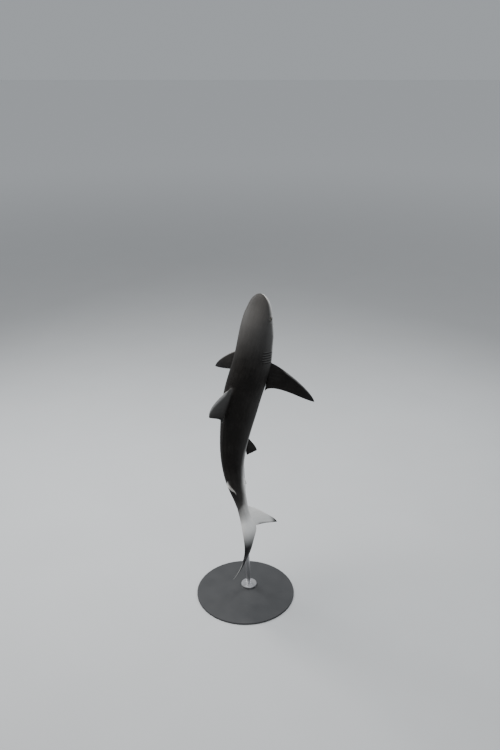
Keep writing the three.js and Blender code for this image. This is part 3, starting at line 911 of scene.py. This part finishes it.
def grow_fin(fin, place, window, first_side, colour):
    """Window, fillet, rows and tip of one fin, all sharing their points."""
    edge = cut_window(*window)
    sheet = fin_sheet(fin, np.r_[0.0, FIN_ROWS], len(edge), first_side)
    along, out, thick, chord, side = sheet
    out = out + root_reach(fin, place, along[0], thick[0]) * (1 - smooth(out, 0, SETTLED))
    places = place(along, out, thick)
    fillet = arc(skin.place_of(edge), places[0], places[1], FILLET[:, None])
    marks = colour(along[1:], out[1:], chord, side[1:])
    edge_marks = {mark: skin.mark_of(mark, edge) for mark in SKIN_MARKS}
    blend = {m: mix(edge_marks[m], marks[m][0], smooth(FILLET, 0, 1)) for m in marks}
    blend["run"] = edge_marks["run"]
    rings = np.concatenate([edge[None], skin.add(fillet, **blend), skin.add(places[1:], **marks)])
    skin.rings(rings)
    apex = place(*[np.array([v]) for v in (*fin["apex"], 0.0)])
    tip = skin.add(apex, **{m: marks[m][-1].mean() for m in marks})
    skin.pole(rings[-1], tip[0])


def fin_colour(fin, upper, lower, shade, tip_dusk, rear_dusk, edge_highlight, edge_highlight_width):
    """Marks of a fin: a tone for each face, a dusky tip and rear edge, and a painted highlight
    along the front and on the free rear tip.

    Run and girth are swapped, so that streaks along the run follow the fin's rays."""

    def colour(along, out, chord, side):
        reach = np.clip(out / fin["apex"][1], 0, 1)
        tip = tip_dusk * smooth(reach, 0.62, 1.0)
        rear = rear_dusk * bell(chord, 1, 0.12) * smooth(reach, 0.02, 0.2)
        # painted highlights along the front and on the free rear tip
        lit_rear_tip = bell(chord, 1, 0.05) * (1 - smooth(reach, 0.08, 0.25))
        front = bell(chord, 0, edge_highlight_width * (1 + 1.5 * reach)) * smooth(reach, -0.1, 0.35)
        # painted shade: each fin is darker towards its rear edge, and on its lower or left face
        rearward = 1 - 0.7 * smooth(chord, 0.1, 0.9)
        return {
            "tone": np.where(side > 0, upper, lower) - edge_highlight * np.maximum(front, lit_rear_tip),
            "dusk": np.clip(tip + rear, 0, 1),
            "shade": shade * rearward * np.where(side > 0, 1, SHADED_FACE_SHARE),
            "fold": 0 * along,
            "run": fin["station"] + out,
            "girth": along,
            "flank": NO_LINE + 0 * along,
        }

    return colour


def window_of_fin(fin, side, place, margin):
    """The window that clears the root of a fin. Under the belly, angles run on past 180."""
    along, _, thick, _, _ = fin_sheet(fin, np.zeros(1), ROOT_POINTS, 1)
    along, thick = along[0], thick[0]
    root = place(along, root_reach(fin, place, along, thick), thick)
    station, angle, _ = body_place(root, fin["station"] + along)
    middle = math.pi if side < 0 and "angle" not in fin else 0
    angle = (angle - middle + math.pi) % (2 * math.pi) - math.pi + middle
    return window_round(station, angle, margin)


# Each row has the name, the fin, its sides (back 1, belly -1, or left -1 and right 1), and the
# window's margin: front, rear and sides. The marks are the tones of the upper and the lower
# face, the shade, the dusk of the tip and of the rear edge, and the strength and the width of
# the painted highlight along the front.
FIN_LOOKS = [
    ("first dorsal", FIRST_DORSAL, [1], (0.8, 0.9, 0.75), (1.6, 1.6, 0.8, 0, 0.75, 1.5, 0.11)),
    # the second dorsal's paler upper face is painted sunlight
    ("second dorsal", SECOND_DORSAL, [1], (0.3, 0.4, 0.28), (0.5, 1.4, 0.8, 1.2, 0.3, 0.8, 0.15)),
    ("anal", ANAL, [-1], (0.35, 0.4, 0.3), (-1.2, -1.2, 0.5, 0.5, 0.3, 0, 0.1)),
    ("lower lobe", LOWER_LOBE, [-1], (0.5, 0.5, 0.3), (-1.4, -1.4, 1.0, 1.3, 0.75, 0, 0.1)),
    ("pectoral", PECTORAL, [-1, 1], (0.4, 0.9, 0.55), (2.4, -2.4, 0.04, 0.8, 0.4, 2.0, 0.07)),
    ("pelvic", PELVIC, [-1, 1], (0.4, 0.5, 0.35), (1.6, -2.0, 0.2, 0.7, 0.3, 0.6, 0.04)),
]
for name, fin, sides, margin, marks in FIN_LOOKS:
    paired = "angle" in fin
    for side in sides:
        place = on_side(fin, side) if paired else on_middle(fin, side)
        window = window_of_fin(fin, side, place, margin)
        grow_fin(fin, place, window, side if paired else -side, fin_colour(fin, *marks))
        print(f"{name} fin, side {side}: rows and columns of its window", *map(int, window))

# %% [markdown]
# ## Eye sockets and nostrils
# A silky shark's large round eyes look sideways, with only a shallow dome between the lids. Its
# nostrils are slanting slits under the snout, each with a small flap in front. Lids and flaps
# could be rings laid on the head, but their edges would show. So both are openings of the hide
# with a soft rim: rings run over the skin to the rim's crest, turn in over it and close behind
# in a cup.

# %% Frames of the small openings
# The windows are half a length and half a girth. The opening is an angle from the eye's axis in
# degrees, and the oval is how far it is longer than high.
EYE = {
    "station": 6.9, "angle": math.radians(85), "radius": 0.8, "proud": 0.2, "opening": 46,
    "oval": 2.5, "window": (1.25, 1.25),
}
NOSTRIL = {
    "station": 4.5, "below": math.radians(46), "length": 0.6, "width": 0.17,
    "slant": math.radians(62), "window": (0.95, 1.1),
}
CREST_RINGS, CREST_PULL = 6, 0.18


class Seat:
    """A place on the skin with its own axes: forward, across (up the flank) and out."""

    def __init__(self, station, angle, centre_depth, toward_axis):
        at, around = np.array([station]), np.array([angle])
        surface = plain_skin(at, around)[0]
        inward = middle_line(at)[0] - surface if toward_axis else -outward(at, around)[0]
        self.out = -inward / np.linalg.norm(inward)
        self.centre = surface - self.out * centre_depth * PERCENT
        ahead, _, up = (v[0] for v in directions(at))
        self.forward = ahead - self.out * (ahead @ self.out)
        self.forward /= np.linalg.norm(self.forward)
        self.across = np.cross(self.out, self.forward)
        self.across *= np.sign(self.across @ up) or 1.0

    def point(self, forward, across, out):
        """A point from its three distances in percent."""
        steps = forward[..., None] * self.forward + across[..., None] * self.across
        return self.centre + (steps + out[..., None] * self.out) * PERCENT

    def bearing(self, points):
        """The angle of points round the seat's axis, from forward towards across."""
        offset = points - self.centre
        return np.arctan2(offset @ self.across, offset @ self.forward)


def window_at(station, angle, half_length, half_girth):
    """A window of a given size round a place, with an even count of columns."""
    shifted = station - float(mouth_shift(station, angle))
    first_row, last_row = np.searchsorted(rows, [shifted - half_length, shifted + half_length])
    middle = round(angle / PITCH)
    half = round(half_girth / float(half_width(station)) / PITCH)
    return first_row, last_row, middle - half, middle + half


def grow_opening(edge, rings, folds, near_station):
    """Rings from a window's edge over a crest, which is the first ring, and in to the last one.

    The way to the crest is straight, with the rings closer together towards it. Each point takes
    the body's marks of its own station and of its angle, which is counted from the angle of the
    window's edge, so the colours run on unbroken."""
    start, crest = skin.place_of(edge), rings[0]
    middle = (start + crest) / 2 + (crest - start) * CREST_PULL
    over = arc(start, middle, crest, np.linspace(0, 1, CREST_RINGS + 1)[:, None, None])
    points = np.concatenate([over, rings[1:-1]])
    station, angle, _ = body_place(points, np.full(points.shape[:2], near_station))
    edge_angle = skin.mark_of("girth", edge) / half_width(skin.mark_of("run", edge))
    angle = from_back(angle) - from_back(angle[0]) + edge_angle
    # the rings that turn into the cup take painted shade
    folds = np.r_[np.zeros(CREST_RINGS), folds[1:-1]][:, None]
    grown = skin.add(points[1:], fold=folds, **body_marks(station[1:], angle[1:]))
    rings_of_ids = np.concatenate([edge[None], grown])
    skin.rings(rings_of_ids)
    # the cup's bottom is painted fully dark: painted shade
    closing = skin.add(rings[-1].mean(0)[None], tone=0, fold=1)
    skin.pole(rings_of_ids[-1], closing[0])


print("seats ready")

# %% [markdown]
# The lids lie on spheres round the eyeball's centre, so they keep an even distance from it and
# need no Shrinkwrap modifier. Inside the lower front lid the third eyelid waits folded: its
# rings slide inward over the eyeball there, and stay hidden elsewhere.

# %% Eye sockets
# angle from the axis in openings, distance from the centre, painted shade in the lids' crease
# and the cup, reach of the third lid
LID_SECTION = np.array([
    [1.17, 0.965, 0, 0], [1.07, 0.955, 0, 0], [1.02, 0.925, 0.15, 0],
    [0.99, 0.882, 0.35, 0], [0.98, 0.85, 0.7, 0], [1.03, 0.84, 1, 0],
    [0.985, 0.837, 0.5, 0.08], [0.98, 0.83, 0.25, 0.17], [0.99, 0.812, 0.6, 0.17],
    [1.1, 0.812, 1, 0], [1.5, 0.82, 1, 0], [2.2, 0.83, 1, 0], [3, 0.83, 1, 0],
    [3.5, 0.83, 1, 0],
])
LARGEST_ANGLE = math.radians(172)
# where round the eye its front corner and the third lid are, and how far each of them spreads
CORNER_TURN, CORNER_SPREAD = 0.52, 0.45
THIRD_LID_TURN, THIRD_LID_SPREAD = 0.9, 0.42
eye_seats = {}
for side in (-1, 1):
    place_angle = side * EYE["angle"]
    seat = eye_seats[side] = Seat(EYE["station"], place_angle, EYE["radius"] - EYE["proud"], True)
    edge = cut_window(*window_at(EYE["station"], place_angle, *EYE["window"]))
    bearing = seat.bearing(skin.place_of(edge))
    drawn_in = EYE["oval"] * bell(np.sin(bearing / 2 + CORNER_TURN), 0, CORNER_SPREAD)
    opening = np.radians(EYE["opening"] + EYE["oval"] * np.cos(2 * bearing) - drawn_in)
    third_lid = bell(np.sin((bearing + THIRD_LID_TURN) / 2), 0, THIRD_LID_SPREAD)
    size, distance, _, reach = LID_SECTION.T[..., None]
    angle = np.minimum((size - reach * third_lid) * opening, LARGEST_ANGLE)
    off_axis = distance * np.sin(angle)
    forward, across = off_axis * np.cos(bearing), off_axis * np.sin(bearing)
    rings = seat.point(forward, across, distance * np.cos(angle))
    grow_opening(edge, rings, LID_SECTION[:, 2], EYE["station"])
wide = 2 * EYE["radius"] * math.sin(math.radians(EYE["opening"])) * PERCENT
print("eye openings about", round(wide * 1000), "mm wide")

# %% [markdown]
# A nostril could be a dark patch of paint, but a real hole has its own shadow. It is a cup like
# the socket, drawn out into a slit and narrowed on the side where its flap hangs over.

# %% Nostrils
# size of the ring in openings, out of the skin (percent), painted shade down into the cup
NARIS_SECTION = np.array([
    [1.45, 0.035, 0], [1.2, 0.03, 0], [1.06, 0.02, 0.1], [1, -0.03, 0.5],
    [0.95, -0.14, 1], [0.8, -0.3, 1], [0.5, -0.42, 1], [0.2, -0.46, 1],
])
# the share of the slit's width that the flap takes, where round it the flap is and its spread
FLAP_REACH, FLAP_TURN, FLAP_SPREAD = 0.55, 1.25, 0.3
# how much of a ring's size goes into its length
LONG_SHARE = 0.35
for side in (-1, 1):
    place_angle = side * (math.pi - NOSTRIL["below"])
    seat = Seat(NOSTRIL["station"], place_angle, 0, False)
    edge = cut_window(*window_at(NOSTRIL["station"], place_angle, *NOSTRIL["window"]))
    bearing = seat.bearing(skin.place_of(edge)) - NOSTRIL["slant"]
    flap = 1 - FLAP_REACH * bell(np.sin((bearing - FLAP_TURN) / 2), 0, FLAP_SPREAD)
    size, out, _ = NARIS_SECTION.T[..., None]
    long_way = NOSTRIL["length"] * (1 + (size - 1) * LONG_SHARE) * np.cos(bearing)
    short_way = NOSTRIL["width"] * size * flap * np.sin(bearing)
    forward, across = turned(long_way, short_way, -NOSTRIL["slant"])
    rings = seat.point(forward, across, out + 0 * forward)
    grow_opening(edge, rings, NARIS_SECTION[:, 2], NOSTRIL["station"])
print("nostrils", round(2 * NOSTRIL["length"] * PERCENT * 1000), "mm long")

# %% [markdown]
# With every window cut, the rest of the grid is closed. A piece could replace each solid, with a
# seam at every join. Here one skin stands for all the flesh solids, so those are hidden.

# %% The skin becomes a mesh
FLESH = [
    "head", "lower_jaw", "gill_region", "trunk_front", "trunk_middle", "trunk_rear", "tail_stalk",
    "caudal_upper_lobe", "caudal_lower_lobe", "first_dorsal_fin", "second_dorsal_fin", "anal_fin",
    "pectoral_fin_left", "pectoral_fin_right", "pelvic_fin_left", "pelvic_fin_right",
]
skin.quads(np.concatenate([grid, grid[:, :1]], 1), open_faces)
hide = skin.mesh("shark_skin")
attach(hide, "root")
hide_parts(*FLESH)
triangles = sum(len(p.vertices) - 2 for p in hide.data.polygons)
print("the skin has", len(hide.data.vertices), "points and", triangles, "triangles")

# %% [markdown]
# ## Eyeballs
# An eyeball is a ball whose cornea bulges a little at the front. A sphere could be stretched, but
# that bulges the back as well, so it is a surface of revolution with a profile of its own. Iris
# and pupil are painted by its own coordinates: forward, up and out from its centre.

# %% Eyeballs
EYE_RINGS, EYE_TURNS = 40, 64
# how far the ball stays clear of its socket, and the height and the spread of the cornea
EYE_GAP, CORNEA, CORNEA_SPREAD = 0.012, 0.035, 0.5


def make_eye(name, seat):
    """A ball that grows by a low bell at the front, for the cornea."""
    polar = np.linspace(0, math.pi, EYE_RINGS)[1:-1, None]
    turn = np.arange(EYE_TURNS) * 2 * math.pi / EYE_TURNS
    ball_radius = EYE["radius"] - EYE_GAP
    radius = ball_radius + CORNEA * bell(polar, 0, CORNEA_SPREAD)
    forward = radius * np.sin(polar) * np.cos(turn)
    across = radius * np.sin(polar) * np.sin(turn)
    high = radius * np.cos(polar) + 0 * turn
    ends = np.array([ball_radius + CORNEA, -ball_radius])
    ball = Surface(("iris_x", "iris_y", "iris_z"))
    ids = ball.add(seat.point(forward, across, high), iris_x=forward, iris_y=across, iris_z=high)
    front, back = ball.add(seat.point(0 * ends, 0 * ends, ends), iris_z=ends)
    ball.rings(ids)
    ball.pole(ids[0][::-1], front)
    ball.pole(ids[-1], back)
    piece = ball.mesh(name)
    if seat.out @ np.cross(seat.forward, seat.across) > 0:
        piece.data.flip_normals()
    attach(piece, "root")
    return piece


eyes = {}
for side, hand in ((-1, "left"), (1, "right")):
    eyes[side] = make_eye(f"eyeball_{hand}", eye_seats[side])
    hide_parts(f"eye_{hand}")
print("eyeballs of", len(eyes[1].data.polygons), "faces")

# %% [markdown]
# ## Shader maths
# Paint is sums and products of patterns. Nodes could be added and linked one by one, but the sum
# that they make is then hard to read. So a wire stands for one output of a node: its operators
# add Math nodes, its methods add the others, and paint is written as plain expressions.

# %% Wires
SHADER = "Principled BSDF"


def operator(operation, reflected=False):
    """A method that adds a Math node. If reflected, the wire is its second value."""

    def method(self, other):
        return self.math(operation, *((other, self) if reflected else (self, other)))

    return method


class Wire:
    """An output of a shader node. Its operators add Math nodes to the same tree."""

    def __init__(self, tree, socket=None):
        self.tree, self.socket = tree, socket

    def node(self, kind, sockets, output=0, **settings):
        """Add a node of a type, apply its settings, then fill its sockets."""
        node = self.tree.nodes.new(kind)
        for name, value in settings.items():
            setattr(node, name, value)
        for name, value in sockets.items():
            if isinstance(value, Wire):
                self.tree.links.new(value.socket, node.inputs[name])
            else:
                node.inputs[name].default_value = value
        return Wire(self.tree, node.outputs[output])

    def math(self, operation, *values):
        """A Math node of one operation."""
        return self.node("ShaderNodeMath", dict(enumerate(values)), operation=operation)

    __add__, __radd__ = operator("ADD"), operator("ADD", True)
    __sub__, __rsub__ = operator("SUBTRACT"), operator("SUBTRACT", True)
    __mul__, __rmul__ = operator("MULTIPLY"), operator("MULTIPLY", True)
    __truediv__, __pow__ = operator("DIVIDE"), operator("POWER")

    def __abs__(self):
        """Without its sign."""
        return self.math("ABSOLUTE", self)

    def clamp(self):
        """Held between 0 and 1."""
        return self.math("MAXIMUM", self.math("MINIMUM", self, 1.0), 0.0)

    def smooth(self, low, high):
        """0 below low and 1 above high, with level ends."""
        limits = {"Value": self, "From Min": low, "From Max": high}
        return self.node("ShaderNodeMapRange", limits, interpolation_type="SMOOTHSTEP")

    def blend(self, share, first, second):
        """The first colour where the share is 0, and the second where it is 1."""
        sockets = {0: share, 6: first, 7: second}
        return self.node("ShaderNodeMix", sockets, output=2, data_type="RGBA")

    def mark(self, name):
        """A number that the mesh carries at its points."""
        return self.node("ShaderNodeAttribute", {}, output=2, attribute_name=name)

    def here(self):
        """The point's own place, in metres."""
        return self.node("ShaderNodeTexCoord", {}, output=3)

    def noise(self, vector, scale, detail=3.0, rough=0.5):
        """Noise from 0 to 1."""
        sockets = {"Vector": vector, "Scale": scale, "Detail": detail, "Roughness": rough}
        return self.node("ShaderNodeTexNoise", sockets)

    def bump(self, strength):
        """The normal of a surface that has this wire for its height, in metres."""
        return self.node("ShaderNodeBump", {"Strength": strength, "Distance": 1.0, "Height": self})

    def feed(self, socket):
        """Link this wire to one of the shader's sockets."""
        self.tree.links.new(self.socket, self.tree.nodes[SHADER].inputs[socket])


def paint(name, **constants):
    """A material with a Principled shader, its constants set, and a wire to build on."""
    material = bpy.data.materials.new(name)
    material.use_nodes = True
    for socket, value in constants.items():
        socket = socket.replace("_", " ")
        material.node_tree.nodes[SHADER].inputs[socket].default_value = value
    return material, Wire(material.node_tree)


print("wires ready")

# %% [markdown]
# ## Skin paint
# The border between the slate back and the white belly is soft and slightly ragged. A ramp over
# the height could make it on a level body, but this one bends and rolls, so the paint follows the
# marks on the skin. Streaks along the body, drifting clouds and fine speckle break up the flat
# colour. The head is painted lighter as painted sunlight, creases and cups are darkened with
# painted shade, and gill crests and fin fronts carry painted highlights. Fin tips are dusky,
# pores dot the snout, and the lateral line is hair-thin. The bump is the grain of the tiny scales
# over a low swell, because scales of mesh would take many millions of faces.

# %% Skin material
BACK_DEEP = (0.0042, 0.0042, 0.0043, 1)
BACK_WARM = (0.0105, 0.0084, 0.007, 1)
BACK_LIGHT = (0.078, 0.076, 0.074, 1)
BELLY = (0.8, 0.79, 0.77, 1)
BELLY_GREY = (0.58, 0.57, 0.55, 1)
DUSK = (0.013, 0.013, 0.014, 1)
# painted shade in creases and cups, and the colour of the pores and the lateral line
SHADE_AND_PORE_COLOUR = (0.012, 0.011, 0.011, 1)
# heights of the bump, in metres
GRAIN_HEIGHT, SPECKLE_HEIGHT, STREAK_HEIGHT = 0.00012, 0.0002, 0.0006
PORE_DEPTH, LINE_DEPTH = 0.0006, 0.0005

skin_paint, wire = paint(
    "shark_skin_paint", Specular_IOR_Level=0.06, Coat_Weight=0.01, Coat_Roughness=0.3
)
here = wire.here()
tone, shade, dusk, fold, run, girth, flank = (wire.mark(name) for name in SKIN_MARKS)
along_body = wire.node("ShaderNodeCombineXYZ", {0: run * 0.12, 1: girth})
streaks = wire.noise(along_body, 1.6, 5.0, 0.6)
clouds = wire.noise(here, 7.0, 4.0, 0.55)
speckle = wire.noise(here, 220.0, 2.0, 0.6)
ragged = tone + (clouds - 0.5) * 0.8 + (streaks - 0.5) * 0.4
# the shade mark lightens the back: painted sunlight on the head, painted highlights on gill crests
lightness = (shade + (clouds - 0.5) * 0.35 + (streaks - 0.5) * 0.25).clamp()
back = wire.blend((clouds * 0.7 + streaks * 0.5 - 0.1).clamp(), BACK_DEEP, BACK_WARM)
back = wire.blend(lightness, back, BACK_LIGHT)
belly = wire.blend((streaks * 0.8 - 0.1).clamp(), BELLY, BELLY_GREY)
colour = wire.blend(ragged.smooth(-1.15, 1.05), belly, back)
colour = wire.blend((dusk * (0.75 + 0.5 * clouds)).clamp(), colour, DUSK)
colour = wire.blend(speckle.smooth(0.4, 0.8) * 0.02, colour, BELLY_GREY)
cells = wire.node("ShaderNodeTexVoronoi", {"Vector": here, "Scale": 125.0, "Randomness": 0.9})
on_snout = (1 - run.smooth(6.5, 9.5)) * clouds.smooth(0.42, 0.56) * (1 - fold)
pores = (1 - cells.smooth(0.07, 0.17)) * on_snout
line_ends = run.smooth(9.5, 13.0) * (1 - run.smooth(66.0, 72.0))
line = (1 - abs(flank).smooth(0.035, 0.1)) * line_ends
colour = wire.blend((pores * 0.6 + line * 0.16).clamp(), colour, SHADE_AND_PORE_COLOUR)
# creases and cups are darkened with painted shade
wire.blend(fold.clamp() * 0.92, colour, SHADE_AND_PORE_COLOUR).feed("Base Color")
(0.46 + 0.16 * clouds + 0.1 * speckle).feed("Roughness")
height = wire.noise(here, 900.0, 2.0, 0.7) * GRAIN_HEIGHT + speckle * SPECKLE_HEIGHT
height = height + streaks * STREAK_HEIGHT - pores * PORE_DEPTH - line * LINE_DEPTH
height.bump(0.55).feed("Normal")
hide.data.materials.append(skin_paint)
print("skin paint has", len(skin_paint.node_tree.nodes), "nodes")

# %% [markdown]
# ## Eye paint
# A shark's pupil is an upright slit in a dark bronze iris. The two could be meshes inside a glass
# cornea, but at this size paint looks the same, and a clear coat makes the wet gloss.

# %% Eye material
IRIS_DARK, IRIS_BRONZE = (0.026, 0.022, 0.015, 1), (0.085, 0.07, 0.042, 1)
BALL_DARK, PUPIL = (0.012, 0.011, 0.01, 1), (0.002, 0.002, 0.002, 1)
SLIT_WIDTH, SLIT_HEIGHT = 0.15, 0.46

eye_paint, wire = paint(
    "shark_eye_paint", Specular_IOR_Level=0.1, Coat_Weight=1.0, Coat_Roughness=0.03
)
x, y, z = (wire.mark(f"iris_{axis}") for axis in "xyz")
slit = 1 - ((x / SLIT_WIDTH) ** 2.0 + (y / SLIT_HEIGHT) ** 2.0).smooth(0.82, 1.12)
away = (x * x + y * y) ** 0.5
spokes = {0: away * 2.0, 1: x / (away + 0.01), 2: y / (away + 0.01)}
fibres = wire.noise(wire.node("ShaderNodeCombineXYZ", spokes), 6.0)
colour = wire.blend(fibres, IRIS_DARK, IRIS_BRONZE)
colour = wire.blend(away.smooth(0.5, 0.6), colour, BALL_DARK)
wire.blend(slit * z.smooth(0.0, 0.1), colour, PUPIL).feed("Base Color")
(0.25 + 0.2 * fibres).feed("Roughness")
for eye in eyes.values():
    eye.data.materials.append(eye_paint)
print("eye paint has", len(eye_paint.node_tree.nodes), "nodes")

# %% [markdown]
# ## The stand
# A display stand is a heavy base with a flange and one rod. Its solids have their true shape
# already, so they aren't made again and only take a finish: a dark powder coat on the base, and
# on the flange and the rod brushed steel, whose fine scratches run upward.

# %% Stand materials
POWDER_DARK, POWDER_LIGHT = (0.022, 0.023, 0.025, 1), (0.034, 0.035, 0.037, 1)
STEEL_DARK, STEEL_LIGHT = (0.42, 0.42, 0.43, 1), (0.6, 0.6, 0.61, 1)

powder, wire = paint("stand_powder_coat", Specular_IOR_Level=0.4)
here = wire.here()
patina = wire.noise(here, 9.0)
wire.blend(patina, POWDER_DARK, POWDER_LIGHT).feed("Base Color")
(0.44 + 0.12 * patina).feed("Roughness")
(wire.noise(here, 900.0, 3.0, 0.6) * 0.0003).bump(0.4).feed("Normal")

steel, wire = paint("stand_brushed_steel", Metallic=1.0)
brushed = wire.node("ShaderNodeMapping", {"Vector": wire.here(), "Scale": (60.0, 60.0, 1.2)})
scratches = wire.noise(brushed, 22.0, 4.0, 0.7)
wire.blend(scratches, STEEL_DARK, STEEL_LIGHT).feed("Base Color")
(0.26 + 0.22 * scratches).feed("Roughness")
(scratches * 0.0001).bump(0.3).feed("Normal")

for name, material in (("stand_base", powder), ("stand_flange", steel), ("stand_rod", steel)):
    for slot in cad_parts[name].material_slots:
        slot.material = material
print("stand finished")

# %% [markdown]
# ## Studio
# A model is shown in soft light that still tells its form. An environment image could light it,
# but lamps can be set one by one. A wide pale floor and a pale sky stand in for the studio. A
# soft lamp high on the left plays the sun, a weak one beside the camera fills the shade, and
# two behind rim the flanks.

# %% Floor and lamps
FLOOR_REACH = 60
FLOOR_GREY, FLOOR_LIGHT = (0.4, 0.41, 0.42, 1), (0.43, 0.44, 0.45, 1)
FLOOR_FAR = (0.93, 0.93, 0.93, 1)
SKY, SKY_STRENGTH = (0.74, 0.78, 0.82, 1), 0.5

mesh = bpy.data.meshes.new("floor")
corners = [(-1, -1), (1, -1), (1, 1), (-1, 1)]
mesh.from_pydata([(x * FLOOR_REACH, y * FLOOR_REACH, 0) for x, y in corners], [], [(0, 1, 2, 3)])
floor = add_object("floor", mesh)
matt, wire = paint("floor_matt", Roughness=0.9, Specular_IOR_Level=0.2)
here = wire.here()
away = wire.node("ShaderNodeVectorMath", {0: here}, output=1, operation="LENGTH")
near = wire.blend(wire.noise(here, 1.5), FLOOR_GREY, FLOOR_LIGHT)
wire.blend(away.smooth(3.0, 22.0), near, FLOOR_FAR).feed("Base Color")
mesh.materials.append(matt)

world = bpy.data.worlds.new("studio")
world.use_nodes = True
sky = world.node_tree.nodes["Background"].inputs
sky["Color"].default_value, sky["Strength"].default_value = SKY, SKY_STRENGTH
bpy.context.scene.world = world

LAMP_TARGET = np.array([0, 0, 1.6])
# name, place, side of the square, watts, colour
LAMPS = [
    ("key", (-1.8, 0.4, 6.4), 3.0, 520, (1.0, 0.98, 0.95)),
    ("fill", (2.6, -5.2, 3.2), 3.0, 90, (0.92, 0.96, 1.0)),
    ("rim_left", (-3.6, 3.0, 4.2), 2.0, 200, (0.95, 0.98, 1.0)),
    ("rim_right", (3.2, 3.4, 4.0), 2.0, 140, (0.95, 0.98, 1.0)),
]
for name, place, size, power, colour in LAMPS:
    data = bpy.data.lights.new(name, "AREA")
    data.size, data.energy, data.color = size, power, colour
    lamp = add_object(name, data)
    lamp.location = place
    x, y, z = np.array(place) - LAMP_TARGET
    lamp.rotation_euler = (math.atan2(math.hypot(x, y), z), 0, math.atan2(x, -y))
print(len(LAMPS), "lamps")
